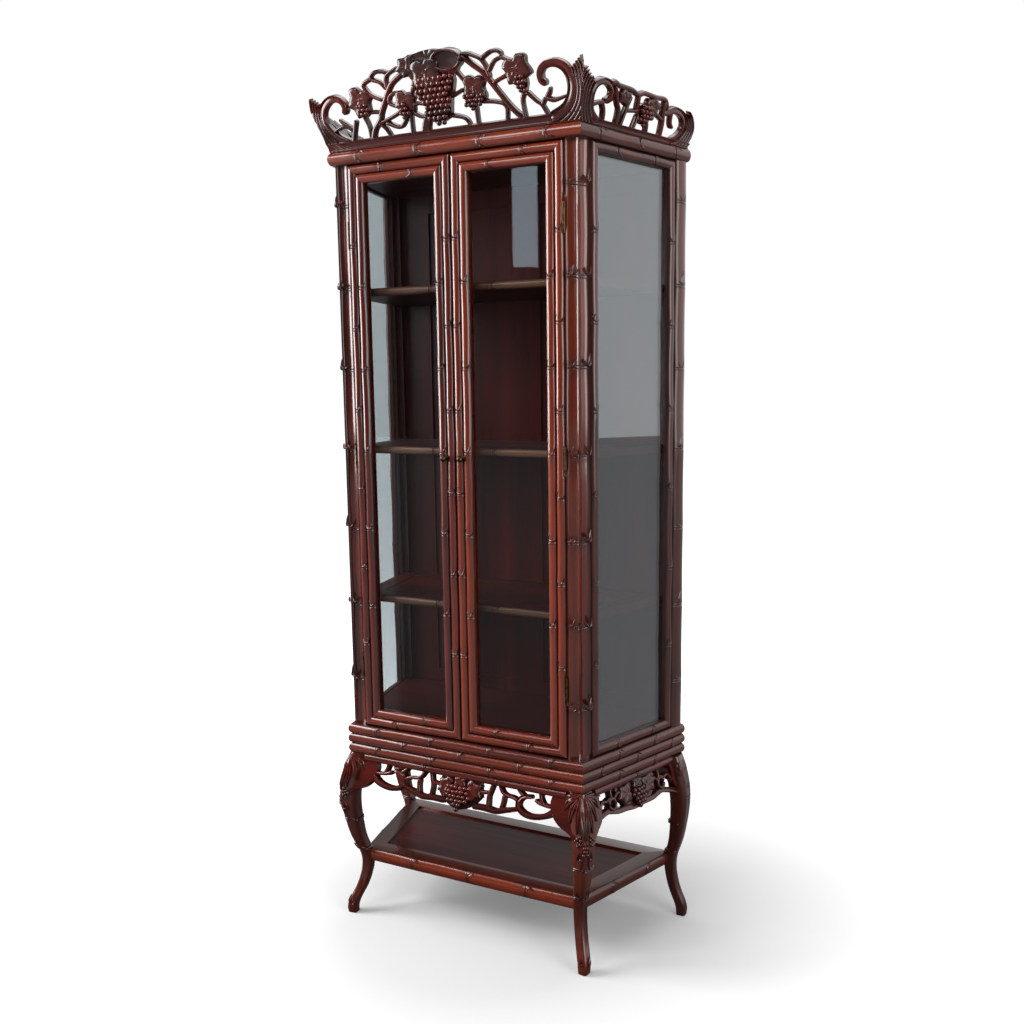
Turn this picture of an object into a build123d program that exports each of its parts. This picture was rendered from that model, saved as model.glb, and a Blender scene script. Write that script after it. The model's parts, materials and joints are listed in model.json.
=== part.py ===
from build123d import *
import os
from math import atan2, cos, degrees, hypot, radians, sin, sqrt, tan

# Glazed display cabinet with two doors, standing on a cabriole stand, its frames
# worked as bamboo and its crest and aprons pierced with a carved vine. Its plan is
# a trapezium: the sides splay outwards from the front to the back.
# Millimetres. +Z is up, the doors face -Y, and the floor is Z = 0.
# Right-hand pieces are drawn, and the left-hand ones are their mirror images. Pieces
# of a side are drawn on a straight side, as if it ran square to the front, and then
# turned about the front corner.

# ---- overall sizes ----
CASE_W = 621.0          # width over the front posts
CASE_D = 348.0          # depth over the corner posts
SPLAY = 15.3            # degrees that each side turns outwards, going back
CASE_H = 1286.0         # height of the glazed case, from plinth to cornice
STAND_H = 406.0         # floor to the underside of the plinth
LEDGE = 5.0             # how far plinth and cornice stand out past the posts

# ---- bamboo mouldings ----
POST = 40.0             # corner post, square over its rods
POST_RISE = 9.0         # how far a post's half round stands out of its core
NODE_STEP = 181.5       # distance between the nodes of one upright rod
NODE_SHIFT = 12.0       # the nodes' middle lies this far above the case's middle
NODE_W = 5.0            # width of the raised ring at a node
NODE_RISE = 1.2         # how far the ring stands out of its rod

# ---- plinth and cornice ----
PLINTH_ROWS = 3
PLINTH_ROD_H = 23.5
CORNICE_H = 28.0
BAND_W = 45.0           # width of the plinth's and cornice's solid bars
BAND_RISE = 9.0
BAND_NODE_STEP = 156.0  # distance between nodes on plinth, cornice and tray
SIDE_NODE_STEP = 126.0
BACK_BAR = 20.0         # thickness of the plain bars along the back

# ---- doors ----
DOOR_GAP = 1.5          # between door and post, and between the two doors
DOOR_END_GAP = 2.0      # above and below a door
DOOR_SET = 2.0          # the door's rods lie this far behind the posts'
DOOR_T = 15.0           # thickness of a door frame behind its rods
DOOR_RISE = 9.0
DOOR_B = 41.0           # breadth of a door frame member, two rods side by side
RAIL_NODE_OUT = 41.0    # node on a door rail's outer rod, from the door's middle
REBATE_W = 8.0
DOOR_REBATE = 10.0      # depth of the door's rebate for glass and bead
GLASS_T = 4.0
GLASS_PLAY = 1.0        # between a glass edge and its rebate
BEAD_W = 7.0
KNOB_R = 7.0
KNOB_NECK_R = 3.0
KNOB_STEM_R = 2.5
KNOB_BASE_T = 2.0
KNOB_OUT = 19.0         # how far a knob stands out of the door's rods
KNOB_IN = 18.0          # how far its stem reaches in
STEM_PLAY = 0.1

# ---- hinges ----
HINGE_H = 60.0
HINGE_INSET = 150.0     # from a door's end to the middle of its nearest hinge
HINGE_SET = 7.0         # hinge axis behind the front of the posts
KNUCKLE_R = 3.2
KNUCKLE_GAP = 0.3
PIN_R = 1.3
PIN_PLAY = 0.1
LEAF_T = 1.0
LEAF_D = 15.0
POCKET_PLAY = 0.4       # between a knuckle and the wood hollowed out for it

# ---- glazed sides ----
SIDE_B = 22.0           # breadth of a side frame member, one rod
SIDE_RISE = 8.0
SIDE_SET = 2.0          # the side rods lie this far inside the posts' rods
SIDE_T = 16.0
SIDE_REBATE = 9.0
SIDE_RAIL_NODE = 62.0   # nodes of the side rails, each side of the middle

# ---- boards and shelves ----
BOTTOM_T = 25.0
TOP_T = 18.0
BOARD_GAP = 2.0         # between the closed doors and the boards behind them
BACK_T = 14.0
BACK_SET = 6.0          # the back board lies this far inside the back posts
BACK_PANEL_IN = 40.0    # each sunk panel starts this far from the middle of the back,
BACK_PANEL_OUT = 84.0   # and ends this far from the board's edge
BACK_PANEL_END = 60.0   # and from its ends
BACK_PANEL_SINK = 4.0
SHELF_T = 18.0
SHELF_HEIGHTS = (306.0, 656.0, 1011.0)   # middle of each shelf above the plinth
SHELF_GAP = 1.0
SHELF_FRONT_GAP = 10.0  # between the closed doors and the shelves' front rods
SHELF_RISE = 6.0
SHELF_GROOVE_IN = 45.0  # the groove that draws the frame and panel of a shelf
SHELF_GROOVE_W = 4.0
SHELF_GROOVE_T = 2.0
PIN_SHANK_R = 3.0       # shelf pins
PIN_LENGTH = 16.0
PIN_DEPTH = 7.0
PIN_INSET = 8.0         # from the side frame's end to its pins
PIN_HOLE_STEP = 60.0    # spare holes above and below each pin

# ---- legs: (height, how far out of the case's corner, side of the section) ----
LEG_FOOT = ((0.0, 5.0, 22.0), (14.0, 6.0, 24.0), (32.0, 2.0, 25.0), (55.0, -8.0, 25.0), (82.0, -17.0, 25.0))
LEG_WAIST_OUT = -22.0
LEG_WAIST = 27.0
LEG_KNEE = ((220.0, -10.0, 31.0), (175.0, -2.0, 36.0), (125.0, 3.0, 41.0), (75.0, 1.0, 45.0),
            (32.0, -8.0, 45.0), (0.0, -18.0, 41.0))     # heights are below the plinth here
LEG_ROUND = 0.26        # corner radius as a share of the section's side

# ---- tray ----
TRAY_TOP = 157.0
TRAY_T = 31.0
TRAY_RISE = 8.0
TRAY_B = 46.0           # breadth of the tray's frame
TRAY_INSET = 7.0        # the tray's edge lies this far inside the legs' outer faces
TRAY_PANEL_T = 14.0
TRAY_PANEL_SINK = 5.0

# ---- aprons ----
APRON_LEAN = 17.0       # degrees out of upright, outwards going down
APRON_T = 18.0
APRON_SET = 15.0        # middle of the apron's top edge behind the posts' front
APRON_ROD_H = 18.0
APRON_ROD_TOP = 2.0
APRON_RISE = 7.0
APRON_ROD_END = 61.0    # the rod stops this far short of the case's corner
APRON_NODE = 98.0       # nodes of the front apron's rod, each side of the middle
APRON_RELIEF = 5.0      # how far the carved bunch stands out
APRON_BACK_H = 60.0
BUNCH_W = 103.0
BUNCH_H = 66.0

# ---- crest ----
CREST_LEAN = 21.0       # degrees out of upright, outwards going up
CREST_T = 16.0
CREST_SET = 8.0         # middle of the crest's foot behind the posts' front
CREST_PEAK = 172.0      # length of the front crest, up its own slope
CREST_BAND = 20.0
CREST_SIDE_BAND = 14.0
CREST_RELIEF = 8.0      # how far the middle bunch stands out
VINE_W = 7.0
STEM_W = 11.0
SCROLL_W = 19.0
SIDE_SCROLL_W = 14.0
SIDE_STEM_W = 9.0

# ---- places worked out from the sizes above ----
CREST_REACH = (CREST_PEAK * sin(radians(CREST_LEAN)) - CREST_SET
               + (CREST_T / 2 + CREST_RELIEF) * cos(radians(CREST_LEAN)))
X = CASE_W / 2
FRONT = (CREST_REACH - CASE_D) / 2
BACK = FRONT + CASE_D
TURN = radians(SPLAY)
CORNER = radians(45 - SPLAY / 2)                # from a front corner's mitre to straight back
MITRE = tan(CORNER)
BACK_X = X + CASE_D * tan(TURN)                 # half the width over the back posts
SIDE_L = CASE_D / cos(TURN)                     # length of a side
SIDE_END_Y = FRONT + SIDE_L                     # its end and middle, drawn straight
SIDE_MIDDLE = FRONT + SIDE_L / 2
Z_CASE = STAND_H + PLINTH_ROWS * PLINTH_ROD_H
Z_TOP = Z_CASE + CASE_H
Z_MID = Z_CASE + CASE_H / 2
Z_CREST = Z_TOP + CORNICE_H
FAR = 400.0             # past the object's edge, for cutting shapes

POST_NODES = int(CASE_H // NODE_STEP)
DOOR_EDGE = X - POST - DOOR_GAP
DOOR_W = DOOR_EDGE - DOOR_GAP / 2
DOOR_H = CASE_H - 2 * DOOR_END_GAP
DOOR_X = (DOOR_EDGE + DOOR_GAP / 2) / 2
DOOR_FACE = FRONT + DOOR_SET + DOOR_RISE        # front of the wood behind the rods
DOOR_BACK = DOOR_FACE + DOOR_T
HINGE_X = X - POST - DOOR_GAP / 2
HINGE_Y = FRONT + HINGE_SET
HINGE_ZS = (Z_MID - DOOR_H / 2 + HINGE_INSET, Z_MID, Z_MID + DOOR_H / 2 - HINGE_INSET)
SIDE_FACE = X - SIDE_SET - SIDE_RISE
INSIDE = SIDE_FACE - SIDE_T                     # inner face of a straight side
BOARD_FRONT = DOOR_BACK + BOARD_GAP
BOARD_BACK = BACK - BACK_SET - BACK_T
TRAY_SET = (TRAY_INSET - LEG_WAIST_OUT - LEG_WAIST / 2) * sqrt(2) * cos(CORNER)
TRAY_FRONT = FRONT + TRAY_SET                   # the tray's edge lies TRAY_SET inside the case's faces
TRAY_BACK = BACK - TRAY_INSET

UP = Vector(0, 0, 1)
FORWARD = Vector(0, -1, 0)
BACKWARD = Vector(0, 1, 0)
RIGHT = Vector(1, 0, 0)


# ---- helpers ----
def save(piece, name):
    """Label a finished piece and write it."""
    piece.part.label = name
    export_step(piece.part, f"parts/{name}.step")


def mirrored(right):
    """The same piece for the other side of the cabinet."""
    with BuildPart() as left:
        mirror(right.part, about=Plane.YZ)
    return left


def save_pair(right, pattern):
    """Write a right-hand piece and its left-hand twin."""
    save(right, pattern.format("right"))
    save(mirrored(right), pattern.format("left"))


def turned(x, y):
    """A place on the straight side, moved to where the splayed side has it."""
    right, back = x - X, y - FRONT
    return (X + right * cos(TURN) + back * sin(TURN), FRONT - right * sin(TURN) + back * cos(TURN))


def splayed(piece):
    """A piece of the straight side, turned about the front corner and cut flush at the back."""
    with BuildPart() as side:
        add(piece.part.rotate(Axis((X, FRONT, 0), (0, 0, 1)), -SPLAY))
        split(bisect_by=Plane(origin=(0, BACK, 0), z_dir=(0, 1, 0)), keep=Keep.BOTTOM)
    return side


def side_x(inset, y):
    """Half the width, at depth y, between lines that run inset inside the sides' faces."""
    return X - inset / cos(TURN) + (y - FRONT) * tan(TURN)


def plan_between(inset, front, back):
    """Ground between two depths, inset inside the sides' faces."""
    shape((side_x(inset, front), front), (side_x(inset, back), back),
          (-side_x(inset, back), back), (-side_x(inset, front), front))


def half_rod(start, end, rise):
    """Bamboo half round on the line start-end, bulging to the right of it."""
    start, end = Vector(*start), Vector(*end)
    bulge = (end - start).normalized().rotate(Axis.Z, -90) * rise
    with BuildLine() as edge:
        ThreePointArc(start, (start + end) * 0.5 + bulge, end)
        Line(end, start)
    make_face(edge.edges())


def shape(*points):
    """A face with straight edges through the points."""
    with BuildLine() as edge:
        Polyline(*points, close=True)
    make_face(edge.edges())


def stroke(width, *points):
    """A stem of even width along the points, round at each of them."""
    with Locations(*points):
        Circle(width / 2)
    for (x1, y1), (x2, y2) in zip(points, points[1:]):
        turn = degrees(atan2(y2 - y1, x2 - x1))
        with Locations(Location(((x1 + x2) / 2, (y1 + y2) / 2, 0), (0, 0, turn))):
            Rectangle(hypot(x2 - x1, y2 - y1), width)


def blob(x, y, length, height, turn=0):
    """A leaf or a bunch of grapes, as an oval."""
    with Locations(Location((x, y, 0), (0, 0, turn))):
        Ellipse(length / 2, height / 2)


def spread(count, step, middle=0.0):
    """Places at even steps about a middle."""
    return [middle + step * (i - (count - 1) / 2) for i in range(count)]


def front_plan():
    """Ground that belongs to the front band, mitred at both corners."""
    inner = POST + BAND_W
    shape((X + FAR * MITRE, FRONT - FAR), (-X - FAR * MITRE, FRONT - FAR),
          (-X + inner * MITRE, FRONT + inner), (X - inner * MITRE, FRONT + inner))


def side_plan():
    """Ground that belongs to the straight right-hand band, mitred at the front only."""
    inner = POST + BAND_W
    shape((X + FAR, FRONT - FAR * MITRE), (X + FAR, SIDE_END_Y + inner), (X - inner, SIDE_END_Y + inner),
          (X - inner, FRONT + inner * MITRE))


def band(outward, foot, rows, row_h, plan, node_rows):
    """A stack of half-round rods on a solid bar, mitred to its neighbour."""
    section = Plane(origin=foot, x_dir=outward, z_dir=outward.cross(UP))
    with BuildPart() as bar:
        with BuildSketch(section):
            Rectangle(BAND_W, rows * row_h, align=(Align.MAX, Align.MIN))
            for row in range(rows):
                half_rod((0, row * row_h), (0, (row + 1) * row_h), BAND_RISE)
        extrude(amount=X + FAR, both=True)
        for row, places in enumerate(node_rows):
            for place in places:
                with BuildSketch(section.offset(place)):
                    half_rod((0, row * row_h), (0, (row + 1) * row_h), BAND_RISE + NODE_RISE)
                extrude(amount=NODE_W / 2, both=True)
        with BuildSketch():
            plan()
        extrude(amount=Z_CREST + FAR, mode=Mode.INTERSECT)
    return bar


INWARD = {"left": (1, 0), "right": (-1, 0), "bottom": (0, 1), "top": (0, -1)}


def member(face, side, width, height, breadth, draw_section, draw_node, nodes):
    """One mitred side of a rectangular frame, whose rods stand on the plane face.

    draw_section draws its section from the outer edge inwards, and draw_node(rod)
    the raised ring of one rod. nodes lists (rod, place along the member).
    """
    in_x, in_y = INWARD[side]
    inward = face.x_dir * in_x + face.y_dir * in_y
    start = face.origin - face.x_dir * (in_x * width / 2) - face.y_dir * (in_y * height / 2)
    half = (height if in_x else width) / 2
    section = Plane(origin=start, x_dir=inward, z_dir=inward.cross(face.z_dir))
    along = 1 if section.z_dir.dot(UP + RIGHT + FORWARD * -1) > 0 else -1
    corners = []
    for end, step in ((1, 0), (-1, 0), (-1, breadth), (1, breadth)):
        reach = end * (half - step)
        corners.append((in_x * (step - width / 2) - in_y * reach, in_y * (step - height / 2) + in_x * reach))
    with BuildPart() as bar:
        with BuildSketch(section):
            draw_section()
        extrude(amount=half, both=True)
        for rod, place in nodes:
            with BuildSketch(section.offset(place * along)):
                draw_node(rod)
            extrude(amount=NODE_W / 2, both=True)
        with BuildSketch(face):
            shape(*corners)
        extrude(amount=FAR, both=True, mode=Mode.INTERSECT)
    return bar


def post_back_edge(play):
    """Where a front post's back face meets its face beside the door, with play all round."""
    back = POST + play
    right = -(POST + play + back * sin(TURN)) / cos(TURN)
    return turned(X + right, FRONT + back)


def fitted_board(bottom, thickness, front, back, play):
    """A board between the sides, notched round the four posts."""
    reach = POST + play
    front_post = [(X - reach, FRONT - FAR), (X + FAR, FRONT - FAR), turned(X + FAR, FRONT + reach),
                  post_back_edge(play)]
    back_post = [turned(X - reach, SIDE_END_Y - reach), turned(X + FAR, SIDE_END_Y - reach),
                 turned(X + FAR, SIDE_END_Y + FAR), turned(X - reach, SIDE_END_Y + FAR)]
    with BuildPart() as board:
        with BuildSketch(Plane.XY.offset(bottom)):
            plan_between(X - INSIDE + play, front, back)
        extrude(amount=thickness)
        for corner in (front_post, back_post):
            for side in (1, -1):
                with BuildSketch(Plane.XY.offset(bottom)):
                    shape(*[(side * x, y) for x, y in corner])
                extrude(amount=thickness, mode=Mode.SUBTRACT)
    return board


def hinge_axes():
    """The right-hand door's hinge centres."""
    return [(HINGE_X, HINGE_Y, z) for z in HINGE_ZS]


def leaf_places(wood_side):
    """Middles of the hinge leaves, on the post at wood_side 1 and on the door at -1."""
    return [(x + wood_side * (DOOR_GAP + LEAF_T) / 2, y + LEAF_D / 2, z) for x, y, z in hinge_axes()]


def hinge_pocket(wood_side):
    """Hollow for the knuckles, and the sunk bed of a leaf."""
    with Locations(*hinge_axes()):
        Cylinder(KNUCKLE_R + POCKET_PLAY, HINGE_H + 2 * POCKET_PLAY, mode=Mode.SUBTRACT)
    with Locations(*leaf_places(wood_side)):
        Box(LEAF_T, LEAF_D, HINGE_H, mode=Mode.SUBTRACT)


def leaning_plane(origin, across, outward, lean):
    """A plane that leans outwards by so many degrees going up."""
    rise = UP * cos(radians(lean)) + outward * sin(radians(lean))
    return Plane(origin=origin, x_dir=across, z_dir=across.cross(rise))


os.makedirs("parts", exist_ok=True)

# ---- corner posts ----
post_node_zs = spread(POST_NODES, NODE_STEP, Z_MID + NODE_SHIFT)
post_inner = (X - POST, FRONT + POST_RISE)
post_corner = (side_x(POST_RISE, FRONT + POST_RISE), FRONT + POST_RISE)
post_end = turned(X - POST_RISE, FRONT + POST)


def front_post_rods(rise):
    """The half rounds on a front post's two outer faces."""
    half_rod(post_inner, post_corner, rise)
    half_rod(post_corner, post_end, rise)


def back_post_rod(rise):
    """The half round on a straight back post's outer face."""
    half_rod((X - POST_RISE, SIDE_END_Y - POST), (X - POST_RISE, SIDE_END_Y), rise)


with BuildPart() as post_front:
    with BuildSketch(Plane.XY.offset(Z_CASE)):
        shape(post_inner, post_corner, post_end, post_back_edge(0))
        front_post_rods(POST_RISE)
    extrude(amount=CASE_H)
    for node_z in post_node_zs:
        with BuildSketch(Plane.XY.offset(node_z)):
            front_post_rods(POST_RISE + NODE_RISE)
        extrude(amount=NODE_W / 2, both=True)
    hinge_pocket(1)
save_pair(post_front, "post_front_{}")

with BuildPart() as post_back:
    with BuildSketch(Plane.XY.offset(Z_CASE)):
        with Locations((X - POST, SIDE_END_Y - POST)):
            Rectangle(POST - POST_RISE, POST + POST_RISE, align=Align.MIN)
        back_post_rod(POST_RISE)
    extrude(amount=CASE_H)
    for node_z in post_node_zs:
        with BuildSketch(Plane.XY.offset(node_z)):
            back_post_rod(POST_RISE + NODE_RISE)
        extrude(amount=NODE_W / 2, both=True)
save_pair(splayed(post_back), "post_back_{}")

# ---- plinth and cornice ----
band_x = X + LEDGE - BAND_RISE
band_y = FRONT - LEDGE + BAND_RISE
outer_rows = spread(4, BAND_NODE_STEP)
inner_rows = spread(3, BAND_NODE_STEP)
side_outer_rows = spread(2, SIDE_NODE_STEP)
side_inner_rows = spread(3, SIDE_NODE_STEP)

plinth_front = band(FORWARD, (0, band_y, STAND_H), PLINTH_ROWS, PLINTH_ROD_H, front_plan,
                    (outer_rows, inner_rows, outer_rows))
save(plinth_front, "plinth_front")
plinth_side = band(RIGHT, (band_x, SIDE_MIDDLE, STAND_H), PLINTH_ROWS, PLINTH_ROD_H, side_plan,
                   (side_outer_rows, side_inner_rows, side_outer_rows))
save_pair(splayed(plinth_side), "plinth_{}")

cornice_front = band(FORWARD, (0, band_y, Z_TOP), 1, CORNICE_H, front_plan, (outer_rows,))
save(cornice_front, "cornice_front")
cornice_side = band(RIGHT, (band_x, SIDE_MIDDLE, Z_TOP), 1, CORNICE_H, side_plan, (side_inner_rows,))
save_pair(splayed(cornice_side), "cornice_{}")

for name, bottom, height in (("plinth_back", STAND_H, Z_CASE - STAND_H), ("cornice_back", Z_TOP, CORNICE_H)):
    with BuildPart() as back_bar:
        with BuildSketch(Plane.XY.offset(bottom)):
            plan_between(X - band_x + BAND_W, BACK - BACK_BAR, BACK)
        extrude(amount=height)
    save(back_bar, name)

# ---- boards ----
bottom_board = fitted_board(Z_CASE, BOTTOM_T, BOARD_FRONT, BOARD_BACK, 0)
save(bottom_board, "bottom_board")
top_board = fitted_board(Z_TOP - TOP_T, TOP_T, BOARD_FRONT, BOARD_BACK, 0)
save(top_board, "top_board")

panel_end = side_x(POST, BOARD_BACK) - BACK_PANEL_OUT
panel_x = (BACK_PANEL_IN + panel_end) / 2
with BuildPart() as back_board:
    with BuildSketch(Plane.XY.offset(Z_CASE)):
        plan_between(POST, BOARD_BACK, BOARD_BACK + BACK_T)
    extrude(amount=CASE_H)
    with Locations((panel_x, BOARD_BACK, Z_MID), (-panel_x, BOARD_BACK, Z_MID)):
        Box(panel_end - BACK_PANEL_IN, BACK_PANEL_SINK, CASE_H - 2 * BACK_PANEL_END,
            align=(Align.CENTER, Align.MIN, Align.CENTER), mode=Mode.SUBTRACT)
save(back_board, "back_board")

# ---- shelves and their pins ----
shelf_front = DOOR_BACK + SHELF_FRONT_GAP + SHELF_RISE
shelf_back = BOARD_BACK - SHELF_GAP
for height, level in zip(SHELF_HEIGHTS, ("lower", "middle", "upper")):
    shelf_bottom = Z_CASE + height - SHELF_T / 2
    board = fitted_board(shelf_bottom, SHELF_T, shelf_front, shelf_back, SHELF_GAP)
    with BuildPart() as shelf:
        add(board.part)
        with BuildSketch(Plane.YZ):
            half_rod((shelf_front, shelf_bottom + SHELF_T), (shelf_front, shelf_bottom), SHELF_RISE)
        extrude(amount=X - POST - SHELF_GAP, both=True)
        inset = SHELF_GROOVE_IN
        with BuildSketch(Plane.XY.offset(shelf_bottom + SHELF_T)):
            plan_between(X - INSIDE + inset, shelf_front + inset, shelf_back - inset)
            inset += SHELF_GROOVE_W
            with BuildSketch(mode=Mode.SUBTRACT):
                plan_between(X - INSIDE + inset, shelf_front + inset, shelf_back - inset)
        extrude(amount=-SHELF_GROOVE_T, mode=Mode.SUBTRACT)
    save(shelf, f"shelf_{level}")

pin_ys = (FRONT + POST + PIN_INSET, SIDE_END_Y - POST - PIN_INSET)
pin_zs = [Z_CASE + height - SHELF_T / 2 - PIN_SHANK_R for height in SHELF_HEIGHTS]
with BuildPart() as side_pins:
    with Locations(*[Location((INSIDE + PIN_DEPTH - PIN_LENGTH / 2, y, z), (0, 90, 0))
                     for y in pin_ys for z in pin_zs]):
        Cylinder(PIN_SHANK_R, PIN_LENGTH)
with BuildPart() as shelf_pins:
    add(splayed(side_pins).part)
    mirror(about=Plane.YZ)
save(shelf_pins, "shelf_pins")

# ---- glazed sides ----
side_d = SIDE_L - 2 * POST
side_face = Plane(origin=(SIDE_FACE, SIDE_MIDDLE, Z_MID), x_dir=(0, 1, 0), z_dir=(1, 0, 0))


def side_section():
    """Bar, rod and glass rebate of a side frame."""
    Rectangle(SIDE_B, SIDE_T, align=(Align.MIN, Align.MAX))
    with Locations((SIDE_B, -SIDE_T)):
        Rectangle(REBATE_W, SIDE_REBATE, align=(Align.MAX, Align.MIN), mode=Mode.SUBTRACT)
    half_rod((SIDE_B, 0), (0, 0), SIDE_RISE)


def side_node(rod):
    """Raised ring on a side rod."""
    half_rod((SIDE_B, 0), (0, 0), SIDE_RISE + NODE_RISE)


upright_nodes = [(0, place) for place in spread(POST_NODES - 1, NODE_STEP, NODE_SHIFT)]
cross_nodes = [(0, SIDE_RAIL_NODE), (0, -SIDE_RAIL_NODE)]
with BuildPart() as side_frame:
    for side in ("left", "right"):
        add(member(side_face, side, side_d, CASE_H, SIDE_B, side_section, side_node, upright_nodes).part)
    for side in ("top", "bottom"):
        add(member(side_face, side, side_d, CASE_H, SIDE_B, side_section, side_node, cross_nodes).part)
    with Locations(*[Location((INSIDE + PIN_DEPTH / 2, y, z + step * PIN_HOLE_STEP), (0, 90, 0))
                     for y in pin_ys for z in pin_zs for step in (-1, 0, 1)]):
        Cylinder(PIN_SHANK_R, PIN_DEPTH, mode=Mode.SUBTRACT)
save_pair(splayed(side_frame), "side_frame_{}")

glass_edge = SIDE_B - REBATE_W + GLASS_PLAY      # from the side frame's outline to its glass
with BuildPart() as side_glass:
    with Locations((INSIDE + SIDE_REBATE, SIDE_MIDDLE, Z_MID)):
        Box(GLASS_T, side_d - 2 * glass_edge, CASE_H - 2 * glass_edge,
            align=(Align.MAX, Align.CENTER, Align.CENTER))
save_pair(splayed(side_glass), "side_glass_{}")

# ---- doors ----
door_face = Plane(origin=(DOOR_X, DOOR_FACE, Z_MID), x_dir=(1, 0, 0), z_dir=(0, -1, 0))
knob_x = DOOR_GAP / 2 + DOOR_B / 2


def door_section():
    """Bar, two rods and the rebate for glass and bead."""
    Rectangle(DOOR_B, DOOR_T, align=(Align.MIN, Align.MAX))
    with Locations((DOOR_B, -DOOR_T)):
        Rectangle(REBATE_W, DOOR_REBATE, align=(Align.MAX, Align.MIN), mode=Mode.SUBTRACT)
    half_rod((DOOR_B / 2, 0), (0, 0), DOOR_RISE)
    half_rod((DOOR_B, 0), (DOOR_B / 2, 0), DOOR_RISE)


def door_node(rod):
    """Raised ring on a door's outer (0) or inner (1) rod."""
    half_rod(((rod + 1) * DOOR_B / 2, 0), (rod * DOOR_B / 2, 0), DOOR_RISE + NODE_RISE)


stile_nodes = ([(0, place) for place in spread(POST_NODES - 1, NODE_STEP, NODE_SHIFT)]
               + [(1, place) for place in spread(POST_NODES - 2, NODE_STEP, NODE_SHIFT)])
rail_nodes = [(0, RAIL_NODE_OUT), (1, -RAIL_NODE_OUT)]


def door_member(side, nodes):
    """One mitred side of the right-hand door."""
    return member(door_face, side, DOOR_W, DOOR_H, DOOR_B, door_section, door_node, nodes)


for side in ("top", "bottom"):
    save_pair(door_member(side, rail_nodes), "{}_door_" + side + "_rail")

with BuildPart() as hinge_stile:
    add(door_member("right", stile_nodes).part)
    hinge_pocket(-1)
save_pair(hinge_stile, "{}_door_hinge_stile")

with BuildPart() as meeting_stile:
    add(door_member("left", stile_nodes).part)
    with Locations(Location((knob_x, DOOR_FACE - DOOR_RISE + KNOB_IN / 2, Z_MID), (90, 0, 0))):
        Cylinder(KNOB_STEM_R + STEM_PLAY, KNOB_IN, mode=Mode.SUBTRACT)
save_pair(meeting_stile, "{}_door_meeting_stile")

opening_w = DOOR_W - 2 * DOOR_B
opening_h = DOOR_H - 2 * DOOR_B
with BuildPart() as door_glass:
    with Locations((DOOR_X, DOOR_BACK - DOOR_REBATE, Z_MID)):
        Box(opening_w + 2 * (REBATE_W - GLASS_PLAY), GLASS_T, opening_h + 2 * (REBATE_W - GLASS_PLAY),
            align=(Align.CENTER, Align.MIN, Align.CENTER))
save_pair(door_glass, "{}_door_glass")

bead_inner = REBATE_W - BEAD_W
with BuildPart() as door_beads:
    with BuildSketch(Plane(origin=(DOOR_X, DOOR_BACK, Z_MID), x_dir=(1, 0, 0), z_dir=(0, -1, 0))):
        Rectangle(opening_w + 2 * REBATE_W, opening_h + 2 * REBATE_W)
        Rectangle(opening_w + 2 * bead_inner, opening_h + 2 * bead_inner, mode=Mode.SUBTRACT)
    extrude(amount=DOOR_REBATE - GLASS_T)
save_pair(door_beads, "{}_door_beads")

knob_y = DOOR_FACE - DOOR_RISE
with BuildPart() as door_knob:
    with Locations((knob_x, knob_y - KNOB_OUT + KNOB_R, Z_MID)):
        Sphere(KNOB_R)
    with Locations(Location((knob_x, knob_y - (KNOB_OUT - KNOB_R) / 2, Z_MID), (90, 0, 0))):
        Cylinder(KNOB_NECK_R, KNOB_OUT - KNOB_R)
    with Locations(Location((knob_x, knob_y - KNOB_BASE_T / 2, Z_MID), (90, 0, 0))):
        Cylinder(KNOB_R, KNOB_BASE_T)
    with Locations(Location((knob_x, knob_y + KNOB_IN / 2, Z_MID), (90, 0, 0))):
        Cylinder(KNOB_STEM_R, KNOB_IN)
save_pair(door_knob, "{}_door_knob")

# ---- hinges ----
knuckle_h = (HINGE_H - 2 * KNUCKLE_GAP) / 3
end_knuckle = knuckle_h + KNUCKLE_GAP           # from the hinge's middle to an end knuckle's
with BuildPart() as door_hinge_leaves:
    with Locations(*hinge_axes()):
        Cylinder(KNUCKLE_R, knuckle_h)
    with Locations(*leaf_places(-1)):
        Box(LEAF_T, LEAF_D, HINGE_H)
    for z in HINGE_ZS:
        with Locations((HINGE_X, HINGE_Y, z + end_knuckle), (HINGE_X, HINGE_Y, z - end_knuckle)):
            Cylinder(KNUCKLE_R + POCKET_PLAY, knuckle_h + 2 * KNUCKLE_GAP, mode=Mode.SUBTRACT)
    with Locations(*hinge_axes()):
        Cylinder(PIN_R + PIN_PLAY, HINGE_H, mode=Mode.SUBTRACT)
save_pair(door_hinge_leaves, "{}_door_hinge_leaves")

with BuildPart() as case_hinge_leaves:
    for z in HINGE_ZS:
        with Locations((HINGE_X, HINGE_Y, z + end_knuckle), (HINGE_X, HINGE_Y, z - end_knuckle)):
            Cylinder(KNUCKLE_R, knuckle_h)
    with Locations(*leaf_places(1)):
        Box(LEAF_T, LEAF_D, HINGE_H)
    with Locations(*hinge_axes()):
        Cylinder(KNUCKLE_R + POCKET_PLAY, knuckle_h + 2 * KNUCKLE_GAP, mode=Mode.SUBTRACT)
        Cylinder(PIN_R, HINGE_H)
save_pair(case_hinge_leaves, "case_hinge_leaves_{}")


# ---- legs ----
def leg_stations():
    """Height, outward shift and side of each of a leg's sections."""
    waist = (TRAY_TOP - TRAY_T / 2, LEG_WAIST_OUT, LEG_WAIST)
    knee = [(STAND_H - drop, out, side) for drop, out, side in LEG_KNEE]
    return [*LEG_FOOT, waist, *knee]


with BuildPart() as leg_front:
    for z, out, side in leg_stations():
        along = out * sqrt(2)
        with BuildSketch(Plane.XY.offset(z)):
            with Locations(Location((X + along * sin(CORNER), FRONT - along * cos(CORNER), 0),
                                    (0, 0, -SPLAY / 2))):
                RectangleRounded(side, side, side * LEG_ROUND)
    loft()

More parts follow.
